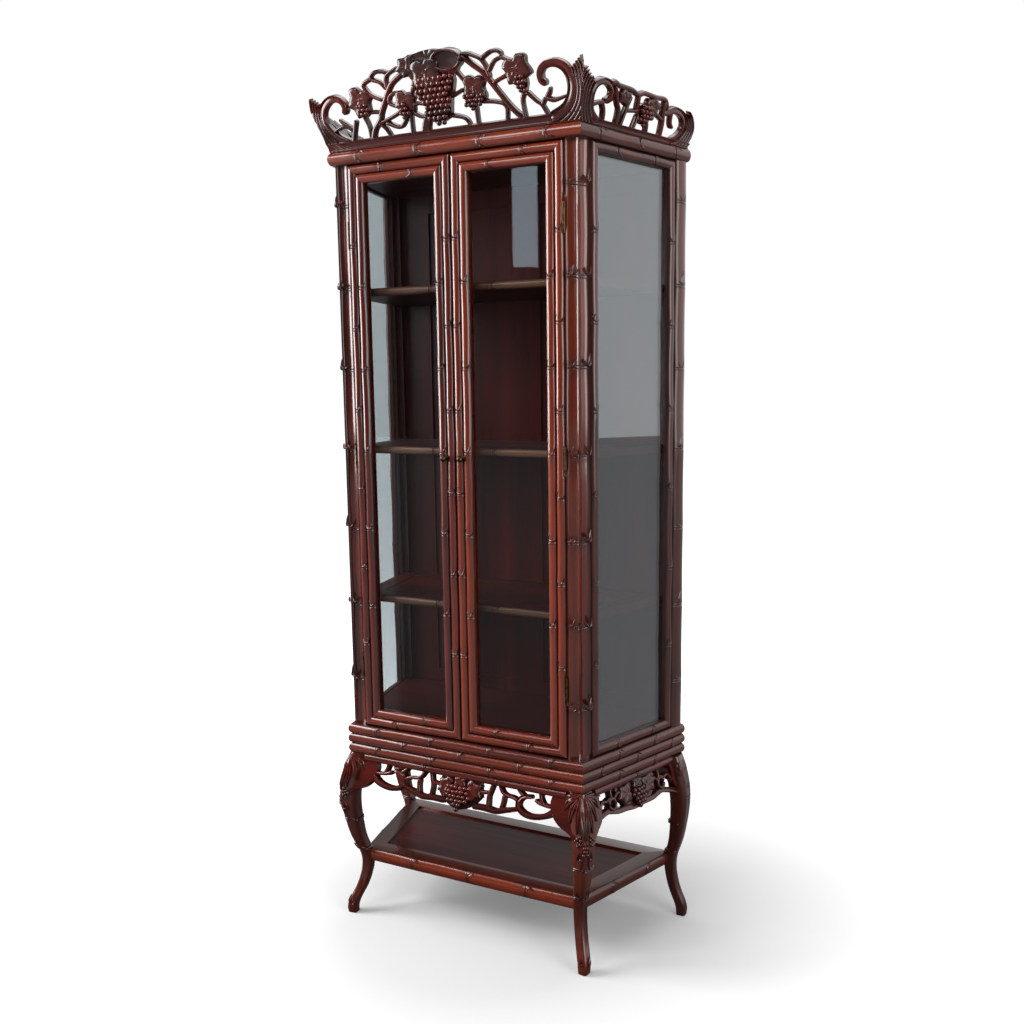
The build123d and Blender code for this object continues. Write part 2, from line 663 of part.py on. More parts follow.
with BuildPart() as leg_back:
    for z, out, side in leg_stations():
        with BuildSketch(Plane.XY.offset(z)):
            with Locations((BACK_X + out, BACK - side / 2)):
                RectangleRounded(side, side, side * LEG_ROUND)
    loft()


leg_front_left = mirrored(leg_front)
leg_back_left = mirrored(leg_back)
save(leg_front, "leg_front_right")
save(leg_front_left, "leg_front_left")
save(leg_back, "leg_back_right")
save(leg_back_left, "leg_back_left")
FRONT_LEGS = (leg_front, leg_front_left)
BACK_LEGS = (leg_back, leg_back_left)
RIGHT_LEGS = (leg_front, leg_back)


def between_legs(piece, legs):
    """A piece of the stand, fitted against the two legs that it runs between."""
    with BuildPart() as fitted:
        add(piece.part)
        for leg in legs:
            add(leg.part, mode=Mode.SUBTRACT)
    return fitted


# ---- tray ----
def tray_section():
    """Bar with a half-round outer edge, and a ledge for the panel."""
    with Locations((TRAY_RISE, 0)):
        Rectangle(TRAY_B - TRAY_RISE, TRAY_T, align=(Align.MIN, Align.MAX))
    half_rod((TRAY_RISE, -TRAY_T), (TRAY_RISE, 0), -TRAY_RISE)
    with Locations((TRAY_B, 0)):
        Rectangle(REBATE_W, TRAY_PANEL_SINK + TRAY_PANEL_T, align=(Align.MAX, Align.MAX), mode=Mode.SUBTRACT)


def tray_corners(inset):
    """The tray's right-hand corners, front and back, this far inside its edge."""
    front, back = TRAY_FRONT + inset, TRAY_BACK - inset
    return (side_x(TRAY_SET + inset, front), front), (side_x(TRAY_SET + inset, back), back)


def tray_rail(edge, inward, start, end, nodes, legs):
    """One side of the tray's frame, mitred at start and end and fitted against the legs.

    start and end number the corners: 0 and 1 are the right-hand ones, 2 and 3 the left-hand ones.
    """
    section = Plane(origin=(*edge, TRAY_TOP), x_dir=inward, z_dir=inward.cross(UP))
    grounds = []
    for inset in (-2 * NODE_RISE, TRAY_B):
        right_front, right_back = tray_corners(inset)
        left_back, left_front = [(-x, y) for x, y in (right_back, right_front)]
        grounds.append((right_front, right_back, left_back, left_front))
    outer, inner = grounds
    with BuildPart() as rail:
        with BuildSketch(section):
            tray_section()
        extrude(amount=BACK_X + FAR, both=True)
        for place in nodes:
            with BuildSketch(section.offset(place)):
                half_rod((TRAY_RISE, -TRAY_T), (TRAY_RISE, 0), -TRAY_RISE - NODE_RISE)
            extrude(amount=NODE_W / 2, both=True)
        with BuildSketch():
            shape(outer[start], outer[end], inner[end], inner[start])
        extrude(amount=STAND_H, mode=Mode.INTERSECT)
    return between_legs(rail, legs)


outward_side = Vector(cos(TURN), -sin(TURN), 0)
save(tray_rail((0, TRAY_FRONT), BACKWARD, 0, 3, inner_rows, FRONT_LEGS), "tray_rail_front")
save(tray_rail((0, TRAY_BACK), FORWARD, 1, 2, inner_rows, BACK_LEGS), "tray_rail_back")
save_pair(tray_rail(turned(X - TRAY_SET, SIDE_MIDDLE), outward_side * -1, 0, 1, side_outer_rows, RIGHT_LEGS),
          "tray_rail_{}")

with BuildPart() as tray_panel:
    with BuildSketch(Plane.XY.offset(TRAY_TOP - TRAY_PANEL_SINK)):
        ledge = TRAY_B - REBATE_W
        plan_between(TRAY_SET + ledge, TRAY_FRONT + ledge, TRAY_BACK - ledge)
    extrude(amount=-TRAY_PANEL_T)
save(tray_panel, "tray_panel")


# ---- carved aprons ----
# Outlines run across an apron and down from its top edge. They are drawn for a case of
# DRAWN_X or DRAWN_Y from middle to corner, and stretch with the case.
DRAWN_X = 338.0
DRAWN_Y = 214.0
wider = X / DRAWN_X
deeper = SIDE_L / 2 / DRAWN_Y


def stretched(points, along, up=1.0):
    """Points drawn for one size, moved to their places on another."""
    return [(x * along, y * up) for x, y in points]


def both_sides(points):
    """An outline on the right, with its mirror image on the left."""
    return [*points, *[(-x, y) for x, y in reversed(points)]]


FRONT_APRON_EDGE = ((324, -96), (314, -92), (297, -86), (272, -74), (254, -68), (230, -73), (200, -79),
                    (168, -73), (138, -77), (108, -85), (76, -79), (40, -84))
FRONT_APRON_HOLES = ((195, -48, 19, 13, 35), (231, -30, 21, 9, 12), (146, -30, 19, 8, -8),
                     (150, -52, 13, 8, 40), (104, -52, 16, 10, 25), (78, -28, 16, 6, -10))
SIDE_APRON_EDGE = ((200, -96), (190, -92), (168, -78), (144, -70), (114, -78), (84, -76), (54, -82),
                   (24, -84))
SIDE_APRON_HOLES = ((104, -50, 15, 11, 35), (124, -30, 17, 7, 10), (76, -29, 14, 6, -10))


def apron(plane, half, drawn_to_real, edge, holes, nodes):
    """A pierced plate with a bamboo rod along its top and a carved bunch in its middle."""
    along = Plane(origin=plane.origin, x_dir=plane.z_dir, z_dir=plane.x_dir * -1)
    rod_bottom = APRON_ROD_TOP + APRON_ROD_H
    lower = stretched(both_sides(edge), drawn_to_real)
    with BuildPart() as plate:
        with BuildSketch(plane):
            shape(*lower, (lower[-1][0], APRON_T), (lower[0][0], APRON_T))
            for x, y, length, height, turn in holes:
                for side in (1, -1):
                    with Locations(Location((side * x * drawn_to_real, y, 0), (0, 0, side * turn))):
                        Ellipse(length, height, mode=Mode.SUBTRACT)
        extrude(amount=APRON_T / 2, both=True)
        with BuildSketch(plane):
            blob(0, -rod_bottom - BUNCH_H / 2, BUNCH_W, BUNCH_H)
        extrude(amount=APRON_T / 2 + APRON_RELIEF)
        with BuildSketch(along):
            half_rod((APRON_T / 2, -rod_bottom), (APRON_T / 2, -APRON_ROD_TOP), APRON_RISE)
        extrude(amount=half - APRON_ROD_END, both=True)
        for place in nodes:
            with BuildSketch(along.offset(place)):
                half_rod((APRON_T / 2, -rod_bottom), (APRON_T / 2, -APRON_ROD_TOP), APRON_RISE + NODE_RISE)
            extrude(amount=NODE_W / 2, both=True)
        split(bisect_by=Plane.XY.offset(STAND_H), keep=Keep.BOTTOM)
    return plate


front_apron_plane = leaning_plane((0, FRONT + APRON_SET, STAND_H), RIGHT, FORWARD, -APRON_LEAN)
apron_front = apron(front_apron_plane, X, wider, FRONT_APRON_EDGE, FRONT_APRON_HOLES, (APRON_NODE, -APRON_NODE))
save(between_legs(apron_front, FRONT_LEGS), "apron_front")

side_apron_plane = leaning_plane((X - APRON_SET, SIDE_MIDDLE, STAND_H), BACKWARD, RIGHT, -APRON_LEAN)
apron_side = apron(side_apron_plane, SIDE_L / 2, deeper, SIDE_APRON_EDGE, SIDE_APRON_HOLES, (0,))
save_pair(between_legs(splayed(apron_side), RIGHT_LEGS), "apron_{}")

with BuildPart() as apron_back:
    with Locations((0, BACK, STAND_H)):
        Box(2 * BACK_X - POST, BACK_BAR, APRON_BACK_H, align=(Align.CENTER, Align.MAX, Align.MAX))
save(between_legs(apron_back, BACK_LEGS), "apron_back")

# ---- carved crest ----
# Outlines run across a crest panel and up its own slope, DRAWN_PEAK at the middle.
DRAWN_PEAK = 172.0
higher = CREST_PEAK / DRAWN_PEAK

FRONT_STEMS = (
    ((-207, 14), (-196, 36), (-174, 55), (-167, 68), (-151, 88), (-135, 108), (-118, 123), (-88, 136)),
    ((50, 156), (78, 148), (99, 131), (120, 115), (139, 91), (158, 65), (177, 41), (203, 14)))
FRONT_VINES = (
    ((-134, 110), (-136, 123), (-127, 141), (-96, 150)),
    ((-127, 141), (-139, 147), (-160, 148), (-173, 142), (-173, 134), (-152, 127), (-138, 110)),
    ((-173, 136), (-199, 126)),
    ((-200, 122), (-184, 105), (-155, 92)),
    ((-200, 73), (-168, 70)),
    ((-212, 66), (-205, 45), (-212, 14)),
    ((-179, 52), (-163, 35), (-152, 14)),
    ((-282, 74), (-276, 57), (-257, 49), (-252, 40), (-264, 14)),
    ((-184, 45), (-147, 55), (-121, 63), (-110, 70)),
    ((-159, 48), (-125, 35), (-106, 46), (-96, 62)),
    ((-87, 62), (-94, 14)),
    ((-112, 100), (-132, 99), (-138, 84), (-112, 76)),
    ((-58, 121), (-74, 96)),
    ((-76, 72), (-34, 70)),
    ((-80, 60), (-30, 45)),
    ((60, 152), (85, 154), (104, 148), (122, 138), (132, 119), (135, 104)),
    ((122, 139), (149, 150), (168, 148), (170, 138), (151, 132), (132, 112)),
    ((168, 138), (196, 124)),
    ((182, 106), (156, 97), (138, 92)),
    ((40, 138), (59, 120), (74, 98)),
    ((28, 79), (66, 90)),
    ((104, 64), (140, 57), (163, 46), (157, 14)),
    ((87, 56), (84, 14)),
    ((20, 44), (55, 34), (65, 14)),
    ((214, 72), (205, 52), (206, 14)),
    ((218, 70), (239, 48), (251, 39), (262, 14)),
    ((252, 38), (262, 53), (282, 45), (316, 52)),
    ((262, 53), (272, 76)))
FRONT_LEAVES = ((-214, 98, 66, 50, 20), (-212, 78, 34, 34, 0), (-92, 84, 50, 46, -15),
                (206, 108, 62, 48, -15), (212, 82, 34, 38, 0), (95, 88, 66, 42, -20), (88, 64, 42, 30, 0))
FRONT_MIDDLE = ((-97, 152), (-82, 135), (-59, 120), (-56, 94), (-36, 66), (-34, 38), (-8, 31), (20, 38),
                (30, 68), (45, 95), (46, 125), (68, 153), (52, 162), (19, 170), (-16, 172), (-46, 168),
                (-61, 156))
FRONT_FOOT = ((-40, 50), (-56, 12))
FRONT_BUNCH = ((-86, 150), (-52, 118), (-50, 94), (-32, 66), (-30, 40), (-8, 33), (18, 40), (27, 70),
               (40, 97), (42, 128), (58, 152), (48, 160), (18, 168), (-16, 172), (-44, 165))
FRONT_SCROLL = ((283, 14), (308, 31), (326, 55), (330, 78), (318, 101), (297, 112), (272, 109), (260, 97),
                (262, 82), (274, 75))
FRONT_HORN = ((300, 0), (400, 0), (400, 80), (364, 84), (357, 104), (344, 90), (334, 96), (322, 60),
              (300, 30))

crest_front_plane = leaning_plane((0, FRONT + CREST_SET, Z_CREST), RIGHT, FORWARD, CREST_LEAN)
with BuildPart() as crest_front:
    with BuildSketch(crest_front_plane):
        Rectangle(2 * FAR, 2 * CREST_BAND)
        for vine in FRONT_VINES:
            stroke(VINE_W, *stretched(vine, wider, higher))
        for stem in FRONT_STEMS:
            stroke(STEM_W, *stretched(stem, wider, higher))
        for x, y, length, height, turn in FRONT_LEAVES:
            blob(x * wider, y * higher, length, height, turn)
        for side in (wider, -wider):
            stroke(SCROLL_W, *stretched(FRONT_SCROLL, side, higher))
            shape(*stretched(FRONT_HORN, side, higher))
        stroke(SCROLL_W, *stretched(FRONT_FOOT, wider, higher))
        shape(*stretched(FRONT_MIDDLE, wider, higher))
    extrude(amount=CREST_T / 2, both=True)
    with BuildSketch(crest_front_plane):
        shape(*stretched(FRONT_BUNCH, wider, higher))
    extrude(amount=CREST_T / 2 + CREST_RELIEF)
    with BuildSketch():
        front_plan()
    extrude(amount=Z_CREST + FAR, mode=Mode.INTERSECT)
    split(bisect_by=Plane.XY.offset(Z_CREST), keep=Keep.TOP)
save(crest_front, "crest_front")

SIDE_STEMS = (
    ((-135, 78), (-119, 88), (-105, 84), (-56, 83), (-28, 78), (-6, 84), (43, 82), (76, 84), (92, 68)),
    ((78, 82), (80, 60), (88, 40), (92, 8)))
SIDE_VINES = (
    ((-142, 46), (-165, 38), (-184, 34)),
    ((-150, 48), (-135, 30), (-130, 8)),
    ((-112, 80), (-95, 50), (-84, 44), (-82, 8)),
    ((-56, 70), (-60, 40), (-66, 8)),
    ((-60, 40), (-30, 44), (0, 50)),
    ((-24, 76), (-22, 50)),
    ((-14, 40), (-18, 8)),
    ((60, 50), (86, 44)))
SIDE_LEAVES = ((-72, 68, 48, 28, 0), (28, 60, 70, 46, -10), (12, 40, 60, 34, 10))
SIDE_SCROLLS = (
    ((-162, 10), (-184, 30), (-191, 50), (-187, 70), (-170, 82), (-145, 83), (-124, 73), (-122, 57),
     (-142, 46)),
    ((94, 58), (120, 70), (150, 66), (170, 52), (178, 36), (168, 18), (140, 8)))
SIDE_HORN = ((-300, 0), (-300, 79), (-256, 79), (-232, 88), (-199, 86), (-186, 60), (-175, 20), (-165, 0))
SIDE_END = ((150, 0), (214, 0), (211, 22), (204, 34), (198, 50), (184, 56), (176, 66), (160, 70), (178, 40))

side_crest_plane = leaning_plane((X - CREST_SET, SIDE_MIDDLE, Z_CREST), BACKWARD, RIGHT, CREST_LEAN)
with BuildPart() as crest_side:
    with BuildSketch(side_crest_plane):
        Rectangle(2 * FAR, 2 * CREST_SIDE_BAND)
        for vine in SIDE_VINES:
            stroke(VINE_W, *stretched(vine, deeper, higher))
        for stem in SIDE_STEMS:
            stroke(SIDE_STEM_W, *stretched(stem, deeper, higher))
        for x, y, length, height, turn in SIDE_LEAVES:
            blob(x * deeper, y * higher, length, height, turn)
        for scroll in SIDE_SCROLLS:
            stroke(SIDE_SCROLL_W, *stretched(scroll, deeper, higher))
        shape(*stretched(SIDE_HORN, deeper, higher))
        shape(*stretched(SIDE_END, deeper, higher))
    extrude(amount=CREST_T / 2, both=True)
    with BuildSketch():
        side_plan()
    extrude(amount=Z_CREST + FAR, mode=Mode.INTERSECT)
    split(bisect_by=Plane.XY.offset(Z_CREST), keep=Keep.TOP)
save_pair(splayed(crest_side), "crest_{}")
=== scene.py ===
"""The looks of a glazed display cabinet in dark red lacquered wood, on a cabriole stand.

Its plan widens towards the back, its frames are carved as bamboo rods with raised nodes
and buds, and its crest and aprons as pierced grape vine. Places are in metres, and the
outlines drawn for carving in millimetres.
"""
import json
import math
import random

import bmesh
import bpy
from mathutils import Matrix, Vector
from mathutils.geometry import delaunay_2d_cdt

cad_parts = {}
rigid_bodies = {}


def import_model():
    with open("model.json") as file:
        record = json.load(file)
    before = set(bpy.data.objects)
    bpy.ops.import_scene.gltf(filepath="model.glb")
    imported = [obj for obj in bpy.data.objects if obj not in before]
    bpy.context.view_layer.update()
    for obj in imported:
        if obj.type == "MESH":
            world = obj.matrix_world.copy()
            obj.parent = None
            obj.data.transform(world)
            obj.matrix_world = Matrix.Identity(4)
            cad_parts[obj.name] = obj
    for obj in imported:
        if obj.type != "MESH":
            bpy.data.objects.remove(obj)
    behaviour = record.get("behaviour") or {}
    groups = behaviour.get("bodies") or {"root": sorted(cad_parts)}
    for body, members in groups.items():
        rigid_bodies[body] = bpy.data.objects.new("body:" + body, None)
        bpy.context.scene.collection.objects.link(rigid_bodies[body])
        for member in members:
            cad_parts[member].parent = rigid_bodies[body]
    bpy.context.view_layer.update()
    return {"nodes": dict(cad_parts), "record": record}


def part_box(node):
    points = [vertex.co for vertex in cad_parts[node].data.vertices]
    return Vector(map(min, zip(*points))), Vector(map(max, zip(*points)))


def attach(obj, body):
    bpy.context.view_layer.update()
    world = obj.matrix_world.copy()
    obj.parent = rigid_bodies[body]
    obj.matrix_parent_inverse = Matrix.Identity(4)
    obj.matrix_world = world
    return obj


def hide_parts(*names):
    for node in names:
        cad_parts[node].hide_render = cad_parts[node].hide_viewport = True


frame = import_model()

MM = 0.001
X_AXIS = Vector((1, 0, 0))
Y_AXIS = Vector((0, 1, 0))
UP = Vector((0, 0, 1))


# ---- sizes of the mouldings ----
SPLAY = math.radians(15.3)  # each side turns outwards by this, going back
POST = 40 * MM
POST_RISE = 9 * MM
NODE_RISE = 1.2 * MM        # the plain rings of the frame's nodes stand this far out
DOOR_GAP = 1.5 * MM
DOOR_RISE = 9 * MM
DOOR_BREADTH = 41 * MM
DOOR_THICK = 15 * MM
DOOR_REBATE = 10 * MM
RAIL_NODE_OUT = 41 * MM
SIDE_SET = 2 * MM
SIDE_RISE = 8 * MM
SIDE_BREADTH = 22 * MM
SIDE_THICK = 16 * MM
SIDE_REBATE = 9 * MM
SIDE_RAIL_NODE = 62 * MM
REBATE = 8 * MM
BAND_RISE = 9 * MM
BAND_WIDTH = 45 * MM
LEDGE = 5 * MM
TRAY_RISE = 8 * MM
TRAY_BREADTH = 46 * MM
SHELF_RISE = 6.3 * MM
NODE_STEP = 181.5 * MM
NODE_SHIFT = 12 * MM
BAND_STEP = 156 * MM
SIDE_STEP = 126 * MM
MITRE_PAST = 0.1            # bars are made too long by this or twice this, and cut at their mitres
FRONT_BUD_SHIFT = 3.5 * MM  # outwards from the middle of a front post's rod
FRONT_BUD_SHARE = 0.62      # width of a front post's front buds, as a share of their rod's
SIDE_BUD_SHARE = 0.8        # the same for the posts' side buds
APRON_SET, APRON_LEAN = 15 * MM, math.radians(-17)
APRON_ROD = 18              # millimetres, as the aprons' outlines are
APRON_ROD_TOP = 2
APRON_NODE = 98 * MM
CREST_SET, CREST_LEAN = 8 * MM, math.radians(21)
FRONT_STRETCH = 0.9186      # what the carving's outlines are drawn in by, on the front
SIDE_STRETCH = 0.843        # and on the sides


# ---- places read from the frame ----
def low(node):
    """Lowest corner of a CAD node."""
    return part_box(node)[0]


def high(node):
    """Highest corner of a CAD node."""
    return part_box(node)[1]


FLOOR = low("leg_front_right").z
CASE_BOTTOM = low("post_front_right").z
CASE_TOP = high("post_front_right").z
CASE_MIDDLE = (CASE_BOTTOM + CASE_TOP) / 2
CASE_X = high("right_door_hinge_stile").x + DOOR_GAP + POST
CASE_FRONT = low("post_front_right").y + NODE_RISE
CASE_BACK = high("post_back_right").y
STAND_TOP = low("plinth_front").z
CREST_FOOT = high("cornice_front").z
SIDE_LENGTH = (CASE_BACK - CASE_FRONT) / math.cos(SPLAY)
SIDE_BACKWARD = Vector((math.sin(SPLAY), math.cos(SPLAY), 0))
SIDE_OUT = Vector((math.cos(SPLAY), -math.sin(SPLAY), 0))
MITRE = math.pi / 4 - SPLAY / 2
MITRE_INWARD = Vector((-math.sin(MITRE), math.cos(MITRE), 0))
CORNER = Vector((CASE_X, CASE_FRONT, 0))


def on_side(back, inset, z):
    """A place on the right side: so far back along it, and so far inside its face."""
    return CORNER + SIDE_BACKWARD * back - SIDE_OUT * inset + UP * z


def side_x(inset, y):
    """Half the width, at depth y, between lines that run inset inside the sides' faces."""
    return CASE_X - inset / math.cos(SPLAY) + (y - CASE_FRONT) * math.tan(SPLAY)


def flip(vector):
    """A vector's mirror image on the other side of the cabinet."""
    return Vector((-vector.x, vector.y, vector.z))


def spread(count, step, middle=0.0):
    """Places at even steps about a middle."""
    return [middle + step * (i - (count - 1) / 2) for i in range(count)]


def cut_between(a, b, keep):
    """An upright cut through a and b that keeps the side where keep lies."""
    normal = (b - a).cross(UP).normalized()
    return a, (-normal if normal.dot(keep - a) > 0 else normal)


FRONT_CUTS = [cut_between(CORNER, CORNER + MITRE_INWARD, Vector()),
              cut_between(flip(CORNER), flip(CORNER + MITRE_INWARD), Vector())]
SIDE_CUTS = [cut_between(CORNER, CORNER + MITRE_INWARD, on_side(SIDE_LENGTH / 2, 0, 0)),
             (Vector((0, CASE_BACK, 0)), Y_AXIS)]


# ---- meshes ----
class Shape:
    """Points and faces of one piece, with how dark each point is painted: mostly painted shade in hollows,
    grooves and undersides, and on bamboo partly stain gathered by the nodes.
    """

    def __init__(self):
        self.points = []
        self.faces = []
        self.stains = []

    def add(self, points, faces, stains=None):
        first = len(self.points)
        self.points.extend(Vector(p) for p in points)
        self.faces.extend([first + i for i in face] for face in faces)
        self.stains.extend(stains if stains is not None else [0.0] * len(points))

    def loft(self, rings, stains=None):
        """A closed skin over rings of points; each ring has as many points."""
        size = len(rings[0])
        faces = [list(range(size))[::-1], [(len(rings) - 1) * size + i for i in range(size)]]
        for row in range(len(rings) - 1):
            for i in range(size):
                j = (i + 1) % size
                faces.append([row * size + i, row * size + j, (row + 1) * size + j, (row + 1) * size + i])
        flat = None if stains is None else [s for ring in stains for s in ring]
        self.add([p for ring in rings for p in ring], faces, flat)

    def mesh(self, name, cuts=(), angle=40):
        """The mesh, cut where it meets its neighbours, with its faces pointing out."""
        data = bpy.data.meshes.new(name)
        bm = bmesh.new()
        layer = bm.verts.layers.float.new("shade_and_stain")
        verts = [bm.verts.new(p) for p in self.points]
        for vert, shade_and_stain in zip(verts, self.stains):
            vert[layer] = shade_and_stain
        for face in self.faces:
            bm.faces.new([verts[i] for i in face])
        bmesh.ops.remove_doubles(bm, verts=bm.verts, dist=1e-6)
        for point, normal in cuts:
            geometry = [*bm.verts, *bm.edges, *bm.faces]
            made = bmesh.ops.bisect_plane(bm, geom=geometry, dist=1e-7, plane_co=point, plane_no=normal,
                                          clear_outer=True)
            edges = [e for e in made["geom_cut"] if isinstance(e, bmesh.types.BMEdge)]
            bmesh.ops.holes_fill(bm, edges=edges, sides=0)
        bmesh.ops.recalc_face_normals(bm, faces=bm.faces)
        for face in bm.faces:
            face.smooth = True
        bm.to_mesh(data)
        bm.free()
        data.set_sharp_from_angle(angle=math.radians(angle))
        return data


def joined(name, parts, angle=40):
    """Several meshes as one."""
    bm = bmesh.new()
    for part in parts:
        bm.from_mesh(part)
    data = bpy.data.meshes.new(name)
    bm.to_mesh(data)
    bm.free()
    data.set_sharp_from_angle(angle=math.radians(angle))
    return data


def piece(name, data, material, body, slot, *nodes):
    """One finished piece: its mesh, its finish, the body it rides on and the nodes it stands for."""
    thing = bpy.data.objects.new(name, data)
    bpy.context.scene.collection.objects.link(thing)
    data.materials.clear()
    data.materials.append(material)
    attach(thing, body)
    if nodes:
        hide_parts(*nodes)
    return thing


def pair(name, data, material, body, slot, *nodes):
    """A right-hand piece and its mirror image; {} in a name stands for the side."""
    for side in ("right", "left"):
        copy = data
        if side == "left":
            copy = data.copy()
            copy.transform(Matrix.Diagonal((-1, 1, 1, 1)))
            copy.flip_normals()
        finish = material[side] if isinstance(material, dict) else material
        piece(name.format(side), copy, finish, body.format(side), slot,
              *[node.format(side) for node in nodes])


# ---- finishes ----
class Value:
    """A number in a material that can be used in sums."""

    def __init__(self, tree, socket):
        self.tree = tree
        self.socket = socket

    def sum(self, operation, other, turned=False):
        node = self.tree.nodes.new("ShaderNodeMath")
        node.operation = operation
        pair_of_terms = (other, self) if turned else (self, other)
        for slot, item in zip(node.inputs, pair_of_terms):
            join(self.tree, slot, item)
        return Value(self.tree, node.outputs[0])

    def __add__(self, other):
        return self.sum("ADD", other)

    def __radd__(self, other):
        return self.sum("ADD", other, True)

    def __rsub__(self, other):
        return self.sum("SUBTRACT", other, True)

    def __mul__(self, other):
        return self.sum("MULTIPLY", other)

    def __rmul__(self, other):
        return self.sum("MULTIPLY", other, True)

    def __pow__(self, other):
        return self.sum("POWER", other)


def join(tree, slot, item):
    """Link a value into a socket, or write a plain number or colour on it."""
    if isinstance(item, Value):
        tree.links.new(item.socket, slot)
    else:
        slot.default_value = item


class Finish:
    """A material in the making."""

    def __init__(self, name):
        self.material = bpy.data.materials.new(name)
        self.material.use_nodes = True
        self.tree = self.material.node_tree
        self.tree.nodes.clear()

    def node(self, kind, settings=None, output=0, **sockets):
        """Any node: its settings first, then its sockets by name, with spaces as underscores."""
        node = self.tree.nodes.new(kind)
        for key, value in (settings or {}).items():
            setattr(node, key, value)
        for key, value in sockets.items():
            index = key.replace("_", " ")
            slot = node.inputs[int(index[1:])] if index[1:].isdigit() else node.inputs[index]
            join(self.tree, slot, value)
        return Value(self.tree, node.outputs[output])

    def mix(self, amount, first, second):
        """Blend of two colours."""
        return self.node("ShaderNodeMix", {"data_type": "RGBA"}, output=2, i0=amount, i6=first, i7=second)

    def ramp(self, value, start, end):
        """0 below start, 1 above end."""
        return self.node("ShaderNodeMapRange", Value=value, From_Min=start, From_Max=end)

    def noise(self, where, detail, roughness=0.5):
        return self.node("ShaderNodeTexNoise", Vector=where, Scale=1.0, Detail=detail, Roughness=roughness)

    def place(self, scale=(1, 1, 1), turn=0.0):
        """The piece's own place, turned about the upright and then stretched for a pattern."""
        where = self.node("ShaderNodeTexCoord", output=3)
        if turn:
            where = self.node("ShaderNodeMapping", Vector=where, Rotation=(0, 0, turn))
        return self.node("ShaderNodeMapping", Vector=where, Scale=scale)

    def done(self, shader):
        out = self.tree.nodes.new("ShaderNodeOutputMaterial")
        self.tree.links.new(shader.socket, out.inputs["Surface"])
        return self.material


def colour(r, g, b):
    return (r, g, b, 1.0)


def lacquered(name, along, tones, gloss, coat, turn=0.0, grain_size=95.0, shine=0.5):
    """Stained wood under lacquer, its grain along one axis, and darker where each point's darkening says:
    painted shade in hollows and grooves, and stain gathered by bamboo nodes.
    """
    light, mid, dark = (colour(*tone) for tone in tones)
    finish = Finish(name)
    scale = [grain_size] * 3
    scale["XYZ".index(along)] = grain_size / 24
    grain = finish.noise(finish.place(scale, turn), 6.0, 0.62)
    broad = finish.noise(finish.place([s * 0.12 for s in scale], turn), 3.0)
    pores = finish.noise(finish.place([s * 6 for s in scale], turn), 2.0)
    wood = finish.mix(finish.ramp(grain, 0.36, 0.66), dark, mid)
    wood = finish.mix(finish.ramp(broad, 0.40, 0.66) * 0.8, wood, light)
    wood = finish.mix((1.0 - finish.ramp(pores, 0.30, 0.42)) * 0.45, wood, dark)
    # Painted shade: the per-point darkening pulls the colour towards near black in hollows, grooves and
    # undersides, and near bamboo nodes as gathered stain.
    shade_and_stain = finish.node("ShaderNodeAttribute", {"attribute_type": "GEOMETRY", "attribute_name": "shade_and_stain"},
                        output=2)
    wood = finish.mix(shade_and_stain * 0.9, wood, colour(0.012, 0.003, 0.002))
    bump = finish.node("ShaderNodeBump", Strength=0.07, Distance=0.0006, Height=grain + pores * 0.4)
    shader = finish.node("ShaderNodeBsdfPrincipled", Base_Color=wood, Roughness=gloss + shade_and_stain * 0.15,
                         IOR=1.5, Specular_IOR_Level=shine, Coat_Weight=coat, Coat_Roughness=0.1,
                         Coat_IOR=1.5, Normal=bump)
    return finish.done(shader)


RED_TONES = ((0.38, 0.050, 0.012), (0.20, 0.017, 0.006), (0.060, 0.005, 0.003))
CARVED_TONES = ((0.19, 0.015, 0.006), (0.085, 0.007, 0.004), (0.030, 0.004, 0.003))
DEEP_TONES = ((0.22, 0.036, 0.013), (0.115, 0.014, 0.007), (0.042, 0.006, 0.004))
INSIDE_TONES = ((0.14, 0.016, 0.009), (0.068, 0.007, 0.004), (0.025, 0.004, 0.003))
EDGE_TONES = ((0.34, 0.13, 0.055), (0.22, 0.075, 0.035), (0.10, 0.030, 0.016))
WOOD = {axis: lacquered("rosewood_" + axis.lower(), axis, RED_TONES, 0.24, 1.0) for axis in "XZ"}
# Painted shade: the members on the sides get a darker, browner copy of the front's rosewood (these two
# finishes), standing in for the sides lying out of the key light.
SHADED_SIDE_WOOD = {side: lacquered("side_rosewood_" + side, "Y", DEEP_TONES, 0.30, 0.7, sign * SPLAY)
             for side, sign in (("right", 1), ("left", -1))}
SHADED_SIDE_POST_WOOD = lacquered("side_rosewood_upright", "Z", DEEP_TONES, 0.30, 0.7)
INSIDE_WOOD = {axis: lacquered("inside_wood_" + axis.lower(), axis, INSIDE_TONES, 0.40, 0.12,
                               grain_size=60.0, shine=0.2)
               for axis in "XZ"}
CARVED = lacquered("carved_rosewood", "X", CARVED_TONES, 0.22, 0.75, shine=0.35)
LEG_WOOD = lacquered("leg_rosewood", "Z", DEEP_TONES, 0.28, 0.9)
SHELF_EDGE_WOOD = lacquered("shelf_edge_wood", "X", EDGE_TONES, 0.35, 0.4)


def clear_glass(name, mirror):
    """Clear pane that shows what lies behind it and mirrors a share of the room, more at a slant."""
    finish = Finish(name)
    slant = finish.node("ShaderNodeLayerWeight", output=1, Blend=0.5)
    through = finish.node("ShaderNodeBsdfTransparent", Color=colour(0.86, 0.89, 0.90))
    shine = finish.node("ShaderNodeBsdfAnisotropic", Color=colour(0.93, 0.97, 1.0), Roughness=0.015)
    return finish.done(finish.node("ShaderNodeMixShader", i0=mirror + (slant ** 4.0) * 0.7, i1=through,
                                   i2=shine))


